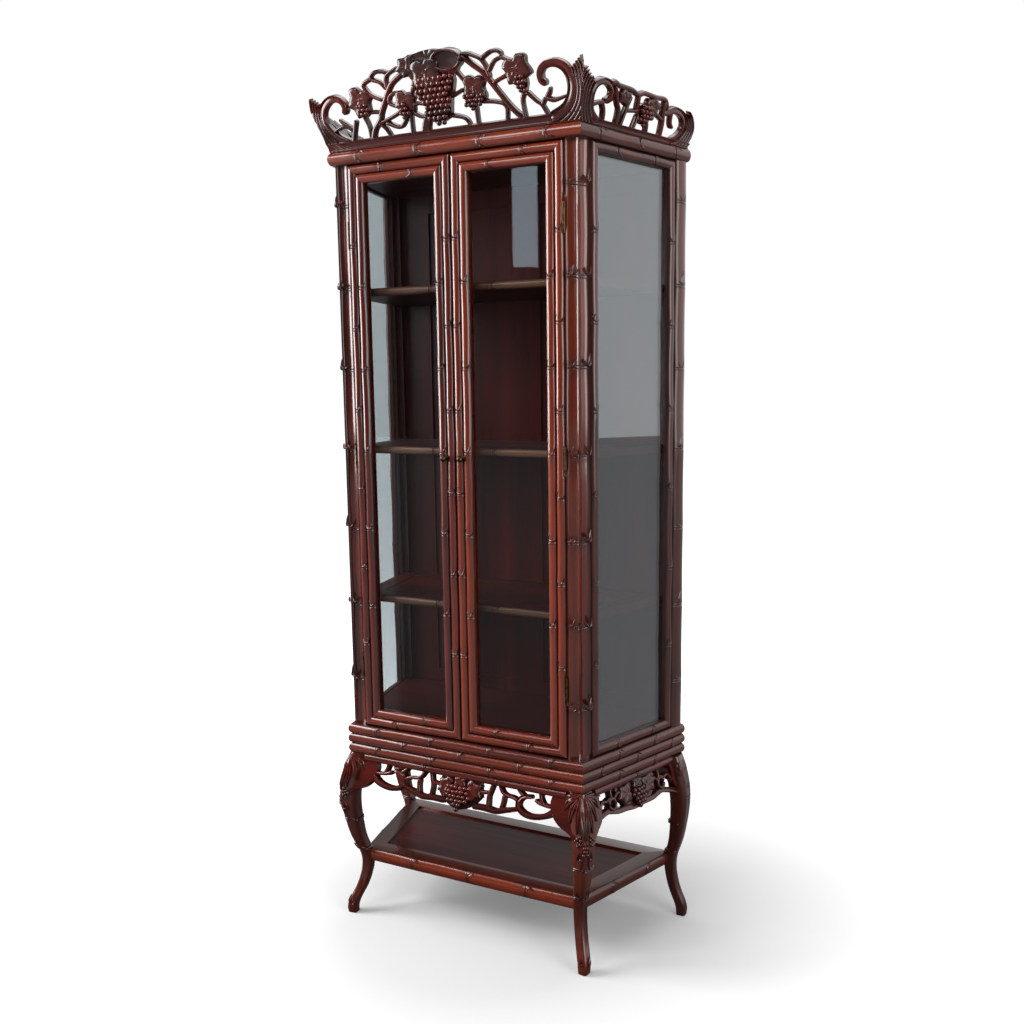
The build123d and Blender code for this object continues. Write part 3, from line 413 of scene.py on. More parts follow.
def aged_brass():
    """Brass gone brown with handling."""
    finish = Finish("aged_brass")
    wear = finish.noise(finish.place((160, 160, 160)), 5.0)
    tone = finish.mix(finish.ramp(wear, 0.35, 0.65), colour(0.04, 0.024, 0.010), colour(0.17, 0.105, 0.045))
    shader = finish.node("ShaderNodeBsdfPrincipled", Base_Color=tone, Metallic=1.0,
                         Roughness=0.22 + wear * 0.2)
    return finish.done(shader)


DOOR_GLASS = clear_glass("door_glass", 0.016)
SIDE_GLASS = clear_glass("side_glass", 0.15)
BRASS = aged_brass()


# ---- bamboo members ----
# A rod by distance from a node, in millimetres: how far it stands out beyond its plain
# rise, and how dark it is painted: painted shade in the groove between the rings and beside them, and a
# fainter darkening fading away from the node as gathered stain. Two raised rings with a groove between, then
# a slow swelling.
NODE_PROFILE = ((0.0, 0.6, 0.5), (1.5, 0.6, 0.5), (2.1, 1.6, 0.1), (3.0, 2.3, 0.0), (3.9, 1.6, 0.1),
                (4.6, 1.5, 0.55), (7.0, 1.6, 0.25), (20.0, 1.2, 0.1), (45.0, 0.4, 0.0), (80.0, 0.0, 0.0))
ARC_STEPS = 10              # faces round one half-round rod


def near_node(distance):
    """Extra rise and darkening of a rod at a distance from its nearest node: painted shade by the rings,
    gathered stain further out.
    """
    d = abs(distance) / MM
    for (d0, rise0, shade_and_stain0), (d1, rise1, shade_and_stain1) in zip(NODE_PROFILE, NODE_PROFILE[1:]):
        if d <= d1:
            t = (d - d0) / (d1 - d0)
            return (rise0 + (rise1 - rise0) * t) * MM, shade_and_stain0 + (shade_and_stain1 - shade_and_stain0) * t
    return 0.0, 0.0


def rod_arc(start, end, rise):
    """Points of a half round from start to end, bulging to the right of that line."""
    start, end = Vector(start), Vector(end)
    bulge = Vector(((end - start).y, -(end - start).x)).normalized() * rise
    middle, half = (start + end) / 2, (end - start) / 2
    angles = [math.pi * i / ARC_STEPS for i in range(ARC_STEPS + 1)]
    return [middle - half * math.cos(a) + bulge * math.sin(a) for a in angles]


def bamboo_member(shape, foot, across, out, length, back, rods):
    """A straight bar with bamboo rods along it.

    foot is the middle of the bar's edge, and across and out are its section's two directions.
    back lists the section's plain corners, and rods (start, end, rise, nodes) in that order round it.
    """
    along = across.cross(out)
    places = {-length / 2, length / 2}
    for start, end, rise, nodes in rods:
        for node in nodes:
            for distance, extra, dark in NODE_PROFILE:
                places.update((node + distance * MM, node - distance * MM))
    rings, stains = [], []
    for place in sorted(p for p in places if abs(p) <= length / 2):
        outline = [Vector(p) for p in back]
        # Painted shade: the plain back corners, and each rod's edges where it meets the next rod or the
        # back, are darkened; the nodes add theirs.
        shade_and_stain = [0.45] * len(back)
        for start, end, rise, nodes in rods:
            extra, dark = near_node(min((abs(place - node) for node in nodes), default=1.0))
            outline.extend(rod_arc(start, end, rise + math.copysign(extra, rise)))
            shade_and_stain.extend(min(1.0, 0.85 * abs(math.cos(math.pi * i / ARC_STEPS)) ** 7 + dark)
                         for i in range(ARC_STEPS + 1))
        rings.append([foot + along * place + across * p.x + out * p.y for p in outline])
        stains.append(shade_and_stain)
    shape.loft(rings, stains)


# ---- carved copies: buds and grapes ----
FLAME, VEE, CRESCENT, GRAPE = range(4)
# Spines of a bud's petals, in half widths of its rod across it and along it, with each petal's half width.
PETALS = {
    FLAME: ((((0, 0.15), (-0.1, 0.7), (0.08, 1.3), (0.4, 2.1)), 0.36),
            (((-0.1, 0.15), (-0.45, 0.4), (-0.7, 0.75), (-0.85, 1.1)), 0.2),
            (((0.15, 0.15), (0.5, 0.35), (0.78, 0.7), (0.92, 1.35)), 0.22)),
    VEE: ((((-0.05, 0.15), (-0.4, 0.4), (-0.65, 0.75), (-0.82, 1.15)), 0.25),
          (((0.1, 0.15), (0.4, 0.4), (0.62, 0.85), (0.78, 1.55)), 0.25)),
    CRESCENT: ((((-0.25, 0.15), (-0.7, 0.5), (-0.68, 1.0), (-0.3, 1.65)), 0.24),
               (((0.3, 0.15), (0.62, 0.32), (0.8, 0.6), (0.85, 0.95)), 0.2)),
}
PETAL_SECTION = ((-1.0, -0.35), (-0.62, 0.62), (-0.18, 1.0), (0.0, 0.72), (0.18, 1.0), (0.62, 0.62),
                 (1.0, -0.35), (0.0, -1.2))
PETAL_LIFT = 0.24           # a petal's own height, as a share of its rod's rise
COPIES = {}                 # body: list of (kind, mirrored, place, along, out, half width, rise)


def copy_at(kind, place, along, out, width, rise, body="cabinet", twin=None):
    """Notes a carved copy on a body, and its mirror image on the twin body."""
    COPIES.setdefault(body, []).append((kind, 0, place, along, out, width / 2, rise))
    if twin:
        COPIES.setdefault(twin, []).append((kind, 1, flip(place), flip(along), flip(out), width / 2, rise))


def smooth(points, steps, closed=False):
    """A smooth curve through the points."""
    points = [Vector(p) for p in points]
    count = len(points)
    curve = []
    for i in range(count if closed else count - 1):
        if closed:
            a, b, c, d = (points[(i + k - 1) % count] for k in range(4))
        else:
            a, b, c, d = (points[min(max(i + k - 1, 0), count - 1)] for k in range(4))
        for k in range(steps):
            t = k / steps
            curve.append(0.5 * (2 * b + (c - a) * t + (2 * a - 5 * b + 4 * c - d) * t ** 2
                                + (3 * b - 3 * c + d - a) * t ** 3))
    return curve if closed else [*curve, points[-1]]


def petals(kind, mirrored):
    """A bud's petals, wrapped over a rod of half width 1 and rise 1."""
    shape = Shape()
    for spine, half in PETALS[kind]:
        line = smooth([(x * mirrored, y) for x, y in spine], 2)
        rings, stains = [], []
        for i, centre in enumerate(line):
            before, after = line[max(i - 1, 0)], line[min(i + 1, len(line) - 1)]
            side = Vector(((after - before).y, -(after - before).x)).normalized()
            t = i / (len(line) - 1)
            fullness = max(0.06, math.sin(math.pi * min(1.0, t * 0.82 + 0.12)) ** 0.8)
            ring = []
            for across, height in PETAL_SECTION:
                p = centre + side * across * half * fullness
                rod = math.sqrt(max(0.0, 1 - min(1.0, abs(p.x)) ** 2))
                ring.append((p.x, p.y, rod * 1.04 + height * PETAL_LIFT * fullness ** 0.5))
            rings.append(ring)
            # Painted shade on each petal's sides and underside, and in the groove down its middle.
            stains.append([0.8, 0.1, 0, 0.45, 0, 0.1, 0.8, 1])
        shape.loft(rings, stains)
    return shape.mesh("petals")


def grape():
    """One grape of radius 1."""
    shape = Shape()
    rings, stains = [], []
    for i in range(6):
        tilt = math.pi * (i + 0.25) / 5.5
        rings.append([(math.sin(tilt) * math.cos(a * math.pi / 4),
                       math.sin(tilt) * math.sin(a * math.pi / 4), -math.cos(tilt)) for a in range(8)])
        # Painted shade, darkest at the grape's back, where it sits against the carving.
        stains.append([max(0.0, 0.6 - 0.2 * i)] * 8)
    shape.loft(rings, stains)
    return shape.mesh("grape", angle=80)


def carved_copies_tree():
    """Node tree that sets a carved shape on every point, turned and sized as the point says."""
    tree = bpy.data.node_groups.new("carved_copies", "GeometryNodeTree")
    for name, kind in (("Places", "Geometry"), ("Carved shapes", "Collection"), ("Finish", "Material"),
                       ("Fullness", "Float")):
        tree.interface.new_socket(name, in_out="INPUT", socket_type="NodeSocket" + kind)
    tree.interface.new_socket("Carving", in_out="OUTPUT", socket_type="NodeSocketGeometry")

    def node(kind, settings=None, **sockets):
        made = tree.nodes.new(kind)
        for key, value in (settings or {}).items():
            setattr(made, key, value)
        for key, value in sockets.items():
            slot = made.inputs[key.replace("_", " ")]
            if isinstance(value, bpy.types.NodeSocket):
                tree.links.new(value, slot)
            else:
                slot.default_value = value
        return made.outputs[0]

    def stored(name, kind):
        return node("GeometryNodeInputNamedAttribute", {"data_type": kind}, Name=name)

    given = tree.nodes.new("NodeGroupInput").outputs
    shapes = node("GeometryNodeCollectionInfo", Collection=given["Carved shapes"], Separate_Children=True,
                  Reset_Children=True)
    turn = node("FunctionNodeEulerToRotation", Euler=stored("turn", "FLOAT_VECTOR"))
    size = node("ShaderNodeVectorMath", {"operation": "SCALE"}, Vector=stored("size", "FLOAT_VECTOR"),
                Scale=given["Fullness"])
    copies = node("GeometryNodeInstanceOnPoints", Points=given["Places"], Instance=shapes,
                  Pick_Instance=True, Instance_Index=stored("kind", "INT"), Rotation=turn, Scale=size)
    real = node("GeometryNodeRealizeInstances", Geometry=copies)
    finished = node("GeometryNodeSetMaterial", Geometry=real, Material=given["Finish"])
    tree.links.new(finished, tree.nodes.new("NodeGroupOutput").inputs[0])
    return tree


def carve_copies():
    """The noted buds and grapes, one piece for each body."""
    shelf = bpy.data.collections.new("carved_shapes")
    for kind in range(4):
        for mirrored in (0, 1):
            data = grape() if kind == GRAPE else petals(kind, -1 if mirrored else 1)
            shelf.objects.link(bpy.data.objects.new(f"carved_{2 * kind + mirrored:02d}", data))
    tree = carved_copies_tree()
    for body, copies in COPIES.items():
        data = bpy.data.meshes.new("places")
        data.from_pydata([c[2] for c in copies], [], [])
        for extra, sort in (("turn", "FLOAT_VECTOR"), ("size", "FLOAT_VECTOR"), ("kind", "INT")):
            data.attributes.new(extra, sort, "POINT")
        marks = data.attributes
        for i, (kind, mirrored, place, along, out, half, rise) in enumerate(copies):
            across = along.cross(out).normalized()
            marks["turn"].data[i].vector = Matrix((across, along, out)).transposed().to_euler()
            marks["size"].data[i].vector = (half, half, rise)
            marks["kind"].data[i].value = 2 * kind + mirrored
        holder = bpy.data.objects.new("places", data)
        bpy.context.scene.collection.objects.link(holder)
        modifier = holder.modifiers.new("carving", "NODES")
        modifier.node_group = tree
        values = {"Carved shapes": shelf, "Finish": CARVED, "Fullness": 1.0}
        for item in tree.interface.items_tree:
            if item.name in values:
                modifier[item.identifier] = values[item.name]
        evaluated = holder.evaluated_get(bpy.context.evaluated_depsgraph_get())
        carved = bpy.data.meshes.new_from_object(evaluated)
        holder.modifiers.remove(modifier)
        bpy.data.objects.remove(holder)
        for extra in ("turn", "size", "kind"):
            if extra in carved.attributes:
                carved.attributes.remove(carved.attributes[extra])
        piece(f"{body}_buds_and_grapes", carved, CARVED, body, "rosewood")
    for helper in list(shelf.objects):
        bpy.data.objects.remove(helper)
    bpy.data.collections.remove(shelf)


# ---- posts, bands, tray and frames ----
def hollowed(data, cutters):
    """A mesh with other meshes cut out of it."""
    thing = bpy.data.objects.new("hollowed", data)
    bpy.context.scene.collection.objects.link(thing)
    helpers = [thing]
    for cutter in cutters:
        helper = bpy.data.objects.new("cutter", cutter)
        bpy.context.scene.collection.objects.link(helper)
        helpers.append(helper)
        modifier = thing.modifiers.new("hollow", "BOOLEAN")
        modifier.operation = "DIFFERENCE"
        modifier.solver = "EXACT"
        modifier.object = helper
    result = bpy.data.meshes.new_from_object(thing.evaluated_get(bpy.context.evaluated_depsgraph_get()))
    for helper in helpers:
        bpy.data.objects.remove(helper)
    return result


def block(lowest, highest):
    """A plain box, to cut with."""
    shape = Shape()
    (x0, y0, z0), (x1, y1, z1) = lowest, highest
    shape.loft([[(x0, y0, z), (x1, y0, z), (x1, y1, z), (x0, y1, z)] for z in (z0, z1)])
    return shape.mesh("block")


def rod_round(centre, radius, foot, top, sides=20):
    """An upright rod, to cut with."""
    shape = Shape()
    turns = [2 * math.pi * i / sides for i in range(sides)]
    shape.loft([[(centre.x + radius * math.cos(a), centre.y + radius * math.sin(a), z) for a in turns]
                for z in (foot, top)])
    return shape.mesh("round")


HINGE_H = 60 * MM
KNUCKLE_POCKET_R = 3.6 * MM
KNUCKLE_PLAY = 0.4 * MM     # free height at each end of a hinge's pocket
LEAF_T, LEAF_D = 1 * MM, 15 * MM


def hinge_beds(wood_side):
    """What is hollowed out for the right door's hinges: in its post at 1, in its stile at -1."""
    joints = frame["record"]["behaviour"]["joints"]
    hinge = [joint for joint in joints if joint["name"] == "right_door_hinge"][0]
    axis = Vector(hinge["pos_m"])
    door_low, door_high = low("right_door_hinge_leaves").z, high("right_door_hinge_leaves").z
    cutters = []
    for z in (door_low + HINGE_H / 2, axis.z, door_high - HINGE_H / 2):
        pocket = HINGE_H / 2 + KNUCKLE_PLAY
        cutters.append(rod_round(axis, KNUCKLE_POCKET_R, z - pocket, z + pocket))
        middle = axis.x + wood_side * (DOOR_GAP + LEAF_T) / 2
        cutters.append(block((middle - LEAF_T / 2, axis.y, z - HINGE_H / 2),
                             (middle + LEAF_T / 2, axis.y + LEAF_D, z + HINGE_H / 2)))
    return cutters


def posts():
    """The four corner posts: half rounds on their outer faces."""
    nodes = spread(7, NODE_STEP, NODE_SHIFT)
    across, out = -X_AXIS, -Y_AXIS

    def section(point):
        """A place in plan, as the front post's section has it."""
        return CASE_X - point[0], CASE_FRONT - point[1]

    inner = (CASE_X - POST, CASE_FRONT + POST_RISE)
    corner = (side_x(POST_RISE, CASE_FRONT + POST_RISE), CASE_FRONT + POST_RISE)
    end = on_side(POST, POST_RISE, 0)
    behind = POST * (1 + math.sin(SPLAY)) / math.cos(SPLAY)
    back_edge = CORNER - Vector((POST, 0, 0)) + Y_AXIS * (POST * math.cos(SPLAY) + behind * math.sin(SPLAY))
    rods = [(section(inner), section(corner), -POST_RISE, nodes),
            (section(corner), section(end), -POST_RISE, nodes)]
    shape = Shape()
    bamboo_member(shape, CORNER + UP * CASE_MIDDLE, across, out, CASE_TOP - CASE_BOTTOM,
                  [section(back_edge)], rods)
    front = hollowed(shape.mesh("post_front"), hinge_beds(1))
    pair("post_front_{}_bamboo", front, WOOD["Z"], "cabinet", "rosewood", "post_front_{}")
    front_width = corner[0] - inner[0]
    side_width = (Vector((end.x, end.y)) - Vector(corner)).length
    for i, node in enumerate(nodes):
        z = CASE_MIDDLE + node
        middle = Vector(((inner[0] + corner[0]) / 2 + FRONT_BUD_SHIFT, inner[1], z))
        copy_at(FLAME if i % 2 else VEE, middle, UP, -Y_AXIS, front_width * FRONT_BUD_SHARE, POST_RISE,
                twin="cabinet")
        middle = Vector(((end.x + corner[0]) / 2, (end.y + corner[1]) / 2, z))
        copy_at(VEE if i % 2 else FLAME, middle, UP, SIDE_OUT, side_width * SIDE_BUD_SHARE, POST_RISE,
                twin="cabinet")
    shape = Shape()
    foot = on_side(SIDE_LENGTH, 0, CASE_MIDDLE)
    rods = [((POST_RISE, 0), (POST_RISE, POST), -POST_RISE, nodes)]
    bamboo_member(shape, foot, -SIDE_OUT, -SIDE_BACKWARD, CASE_TOP - CASE_BOTTOM,
                  [(POST, POST), (POST, -POST_RISE), (POST_RISE, -POST_RISE)], rods)
    pair("post_back_{}_bamboo", shape.mesh("post_back", SIDE_CUTS[1:]), SHADED_SIDE_POST_WOOD, "cabinet",
         "rosewood", "post_back_{}")
    for i, node in enumerate(nodes):
        copy_at(FLAME if i % 2 else VEE, on_side(SIDE_LENGTH - POST / 2, POST_RISE, CASE_MIDDLE + node), UP,
                SIDE_OUT, POST * SIDE_BUD_SHARE, POST_RISE, twin="cabinet")


def framed(centre, across_axis, out, width, height, breadth, thick, rebate, rise, rod_nodes, cross_nodes,
           body, twin, kinds):
    """Meshes of a mitred frame of bamboo members round a pane: its left, right, bottom and top.

    rod_nodes and cross_nodes list each rod's nodes from the outer rod inwards, on uprights and on rails.
    """
    rod_count = len(rod_nodes)
    rod = breadth / rod_count
    back = [(0, -thick), (breadth - REBATE, -thick), (breadth - REBATE, rebate - thick),
            (breadth, rebate - thick)]
    members = []
    for in_x, in_z in ((1, 0), (-1, 0), (0, 1), (0, -1)):
        inward = across_axis * in_x + UP * in_z
        foot = centre - inward * (width if in_x else height) / 2
        length = height if in_x else width
        nodes = rod_nodes if in_x else cross_nodes
        along = inward.cross(out)
        sign = 1 if along.dot(UP + X_AXIS + Y_AXIS) > 0 else -1
        rods = [((rod * (k + 1), 0), (rod * k, 0), rise, [sign * n for n in nodes[k]])
                for k in reversed(range(rod_count))]
        shape = Shape()
        bamboo_member(shape, foot, inward, out, length, back, rods)
        cuts = [(foot + along * end * length / 2, (along * end + inward).normalized()) for end in (1, -1)]
        members.append(shape.mesh("member", cuts))
        for k in range(rod_count):
            for i, node in enumerate(nodes[k]):
                copy_at(kinds[(i + k) % len(kinds)], foot + inward * rod * (k + 0.5) + along * sign * node,
                        along * sign, out, rod, rise, body, twin)
    return members


def doors():
    """The two glazed doors: two rods side by side on every member."""
    lo, hi = low("right_door_meeting_stile"), high("right_door_hinge_stile")
    width, height = hi.x - lo.x, hi.z - lo.z
    face = lo.y + NODE_RISE + DOOR_RISE
    centre = Vector((lo.x + width / 2, face, (lo.z + hi.z) / 2))
    uprights = (spread(6, NODE_STEP, NODE_SHIFT), spread(5, NODE_STEP, NODE_SHIFT))
    rails = ([RAIL_NODE_OUT], [-RAIL_NODE_OUT])
    members = framed(centre, X_AXIS, -Y_AXIS, width, height, DOOR_BREADTH, DOOR_THICK, DOOR_REBATE,
                     DOOR_RISE, uprights, rails, "right_door", "left_door", (CRESCENT, VEE))
    members[1] = hollowed(members[1], hinge_beds(-1))
    for data, name, axis in zip(members, ("meeting_stile", "hinge_stile", "bottom_rail", "top_rail"),
                                "ZZXX"):
        pair("{}_door_" + name + "_bamboo", data, WOOD[axis], "{}_door", "rosewood", "{}_door_" + name)


def side_frames():
    """The glazed sides: one rod on every member."""
    centre = on_side(SIDE_LENGTH / 2, SIDE_SET + SIDE_RISE, CASE_MIDDLE)
    members = framed(centre, SIDE_BACKWARD, SIDE_OUT, SIDE_LENGTH - 2 * POST, CASE_TOP - CASE_BOTTOM,
                     SIDE_BREADTH, SIDE_THICK, SIDE_REBATE, SIDE_RISE, [spread(6, NODE_STEP, NODE_SHIFT)],
                     [[SIDE_RAIL_NODE, -SIDE_RAIL_NODE]], "cabinet", "cabinet", (CRESCENT, VEE))
    pair("side_frame_{}_bamboo", joined("side_frame", members), SHADED_SIDE_POST_WOOD, "cabinet", "rosewood",
         "side_frame_{}")


def stacked_rods(foot, out, length, rows, row_h, width, rise, node_rows, kinds=(CRESCENT, VEE), twin=None):
    """A bar with rods one above the other on its outer face."""
    shape = Shape()
    rods = [((row * row_h, 0), ((row + 1) * row_h, 0), -rise, node_rows[row]) for row in range(rows)]
    bamboo_member(shape, foot, UP, out, length, [(rows * row_h, rise - width), (0, rise - width)], rods)
    along = UP.cross(out)
    for row in range(rows):
        for i, node in enumerate(node_rows[row]):
            copy_at(kinds[(i + row) % len(kinds)], foot + UP * (row + 0.5) * row_h + along * node, along,
                    out, row_h, rise, twin=twin)
    return shape


def bands():
    """Plinth and cornice: rods on bars that are mitred at the front corners."""
    four, three = spread(4, BAND_STEP), spread(3, BAND_STEP)
    side_two, side_three = spread(2, SIDE_STEP), spread(3, SIDE_STEP)
    for kind, front_nodes, side_nodes in (("plinth", (four, three, four), (side_two, side_three, side_two)),
                                          ("cornice", (four,), (side_three,))):
        bottom, top = low(kind + "_front").z, high(kind + "_front").z
        rows = len(front_nodes)
        row_h = (top - bottom) / rows
        foot = Vector((0, CASE_FRONT - LEDGE + BAND_RISE, bottom))
        shape = stacked_rods(foot, -Y_AXIS, 2 * CASE_X + MITRE_PAST, rows, row_h, BAND_WIDTH + BAND_RISE,
                             BAND_RISE, front_nodes)
        piece(kind + "_front_bamboo", shape.mesh(kind, FRONT_CUTS), WOOD["X"], "cabinet", "rosewood",
              kind + "_front")
        foot = on_side(SIDE_LENGTH / 2, BAND_RISE - LEDGE, bottom)
        shape = stacked_rods(foot, SIDE_OUT, SIDE_LENGTH + 2 * MITRE_PAST, rows, row_h,
                             BAND_WIDTH + BAND_RISE, BAND_RISE, side_nodes, twin="cabinet")
        pair(kind + "_{}_bamboo", shape.mesh(kind, SIDE_CUTS), SHADED_SIDE_WOOD, "cabinet", "rosewood",
             kind + "_{}")


def tray():
    """The tray's four rails, mitred at the corners."""
    front = low("tray_rail_front").y + NODE_RISE
    back = high("tray_rail_back").y - NODE_RISE
    top = high("tray_rail_front").z
    height = top - low("tray_rail_front").z
    tray_set = front - CASE_FRONT
    bottom = UP * (top - height)

    def corner(y, inset, inward_y):
        depth = y + inward_y * inset
        return Vector((side_x(tray_set + inset, depth), depth, 0))

    near, far = [(corner(y, 0, turn), corner(y, TRAY_BREADTH, turn)) for y, turn in ((front, 1), (back, -1))]
    three, two = spread(3, BAND_STEP), spread(2, SIDE_STEP)
    middle = Vector((0, (front + back) / 2, 0))
    for name, y, out, (outer, inner), axis in (("front", front, -Y_AXIS, near, 1),
                                               ("back", back, Y_AXIS, far, -1)):
        foot = Vector((0, y + axis * TRAY_RISE, 0)) + bottom
        shape = stacked_rods(foot, out, 2 * outer.x + MITRE_PAST, 1, height, TRAY_BREADTH, TRAY_RISE,
                             (three,))
        keep = Vector((0, y, 0))
        cuts = [cut_between(outer, inner, keep), cut_between(flip(outer), flip(inner), keep)]
        piece(f"tray_rail_{name}_bamboo", shape.mesh("tray_rail", cuts), WOOD["X"], "cabinet", "rosewood",
              f"tray_rail_{name}")
    side_middle = (near[0] + far[0]) / 2
    foot = side_middle - SIDE_OUT * TRAY_RISE + bottom
    shape = stacked_rods(foot, SIDE_OUT, SIDE_LENGTH + 2 * MITRE_PAST, 1, height, TRAY_BREADTH, TRAY_RISE,
                         (two,), twin="cabinet")
    cuts = [cut_between(*near, side_middle), cut_between(*far, side_middle)]
    pair("tray_rail_{}_bamboo", shape.mesh("tray_rail", cuts), SHADED_SIDE_WOOD, "cabinet", "rosewood",
         "tray_rail_{}")


def shelf_rods():
    """A bamboo rod along the front of each shelf."""
    for level in ("lower", "middle", "upper"):
        lo, hi = low("shelf_" + level), high("shelf_" + level)
        foot = Vector((0, lo.y + SHELF_RISE, lo.z))
        half = CASE_X - POST - 1 * MM
        shape = stacked_rods(foot, -Y_AXIS, 2 * half, 1, hi.z - lo.z, SHELF_RISE + 4 * MM, SHELF_RISE,
                             (spread(4, BAND_STEP),), (VEE,))
        piece(f"shelf_{level}_rod", shape.mesh("shelf_rod"), SHELF_EDGE_WOOD, "cabinet", "rosewood_inside")


posts()
doors()
side_frames()
bands()
tray()
shelf_rods()


# ---- carved panels ----
class Panel:
    """The plane of a carved panel: millimetres across and up it, and out of its middle."""

    def __init__(self, origin, across, outward, lean, stretch):
        self.origin = origin
        self.across = across
        self.up = UP * math.cos(lean) + outward * math.sin(lean)
        self.out = across.cross(self.up)
        self.stretch = stretch

    def at(self, x, s, n):
        return self.origin + (self.across * x + self.up * s + self.out * n) * MM

    def drawn(self, points, side=1):
        return [Vector((x * side * self.stretch, s)) for x, s in points]


# Sections of a carved stroke: across, height (None for the back), and painted shade, darkest on its sides
# and back, and in a beaded stroke's groove.
ROUND_STROKE = ((-1.0, None, 0.7), (-1.0, -0.1, 0.45), (-0.82, 0.55, 0.1), (-0.45, 0.9, 0), (0, 1.0, 0),
                (0.45, 0.9, 0), (0.82, 0.55, 0.1), (1.0, -0.1, 0.45), (1.0, None, 0.7))
BEADED_STROKE = ((-1.0, None, 0.6), (-1.0, 0.1, 0.3), (-0.92, 0.75, 0), (-0.8, 1.0, 0), (-0.68, 0.75, 0.2),
                 (-0.58, 0.25, 0.6), (-0.45, 0.3, 0.25), (-0.05, 0.62, 0), (0.4, 0.85, 0), (0.75, 0.8, 0),
                 (0.92, 0.5, 0.1), (1.0, 0.1, 0.4), (1.0, None, 0.6))


def stroke(shape, panel, points, widths, rise, base=3.0, back=-7.0, section=ROUND_STROKE, side=1):
    """A carved vine along a curve, with round ends; its width runs through the widths given."""
    line = smooth(panel.drawn(points, side), 8)
    lengths = [0.0]
    for a, b in zip(line, line[1:]):
        lengths.append(lengths[-1] + (b - a).length)
    total = lengths[-1]
    ends = widths[0] / 2
    places = [ends * k for k in (0.03, 0.15, 0.4, 0.75)]
    steps = max(4, int(total / 5.0))
    places += [ends + (total - 2 * ends) * k / steps for k in range(steps + 1)]
    tail = widths[-1] / 2
    places += [total - tail * k for k in (0.75, 0.4, 0.15, 0.03)]
    rings, stains = [], []
    index = 0
    for place in sorted(min(max(p, 0.0), total) for p in places):
        while index < len(lengths) - 2 and lengths[index + 1] < place:
            index += 1
        span = lengths[index + 1] - lengths[index]
        centre = line[index].lerp(line[index + 1], (place - lengths[index]) / span)
        before, after = line[max(index - 1, 0)], line[min(index + 2, len(line) - 1)]
        tangent = (after - before).normalized()
        normal = Vector((tangent.y, -tangent.x)) * side
        t = place / total * (len(widths) - 1)
        k = min(int(t), len(widths) - 2)
        half = (widths[k] + (widths[k + 1] - widths[k]) * (t - k)) / 2
        near = min(place / max(half, 0.1), (total - place) / max(half, 0.1), 1.0)
        full = math.sqrt(max(0.02, 1 - (1 - near) ** 2))
        rings.append([panel.at(*(centre + normal * half * full * u),
                               back if h is None else base + rise * full * h)
                      for u, h, dark in section])
        stains.append([dark for u, h, dark in section])
    shape.loft(rings, stains)


def inside(point, outline):
    """Whether a point lies within an outline."""
    x, y = point
    found = False
    for a, b in zip(outline, [*outline[1:], outline[0]]):
        if (a.y > y) != (b.y > y) and x < (b.x - a.x) * (y - a.y) / (b.y - a.y) + a.x:
            found = not found
    return found


def rim_distance(point, outline):
    """How far a point lies from the nearest corner of an outline."""
    return min((point - corner).length for corner in outline)


def slab(shape, panel, outline, front, back=-7.0, step=3.0):
    """A carved patch; front gives its height and its painted shade at each place, and its back and walls are
    painted darker as shade.
    """
    xs, ys = [p.x for p in outline], [p.y for p in outline]
    points = list(outline)
    y = min(ys) + step * 0.6
    row = 0
    while y < max(ys):
        x = min(xs) + step * (0.3 if row % 2 else 0.8)
        while x < max(xs):
            point = Vector((x, y))
            if inside(point, outline) and rim_distance(point, outline) > step * 0.55:
                points.append(point)
            x += step
        y += step * 0.87
        row += 1
    made = delaunay_2d_cdt(points, [], [list(range(len(outline)))], 1, 1e-5)
    places, faces = made[0], [list(face) for face in made[2]]
    heights = [front(p) for p in places]
    count = len(places)
    top = [panel.at(p.x, p.y, h) for p, (h, dark) in zip(places, heights)]
    rest = [panel.at(p.x, p.y, back) for p in places]
    edges = {(face[i], face[(i + 1) % len(face)]) for face in faces for i in range(len(face))}
    walls = [[a, count + a, count + b, b] for a, b in edges if (b, a) not in edges]
    shape.add(top + rest, faces + [[count + i for i in reversed(face)] for face in faces] + walls,
              [dark for h, dark in heights] + [0.6] * count)


# A vine leaf's edge: turn from its middle tip in degrees, and reach as a share of its size.
LEAF_EDGE = ((0, 1.0), (9, 0.88), (18, 0.79), (28, 0.73), (38, 0.79), (48, 0.88), (56, 0.97), (66, 0.88),
             (76, 0.77), (87, 0.70), (98, 0.76), (109, 0.86), (120, 0.82), (134, 0.73), (150, 0.64),
             (168, 0.48), (180, 0.36))
LEAF_TIPS = (0, 56, -56, 109, -109)


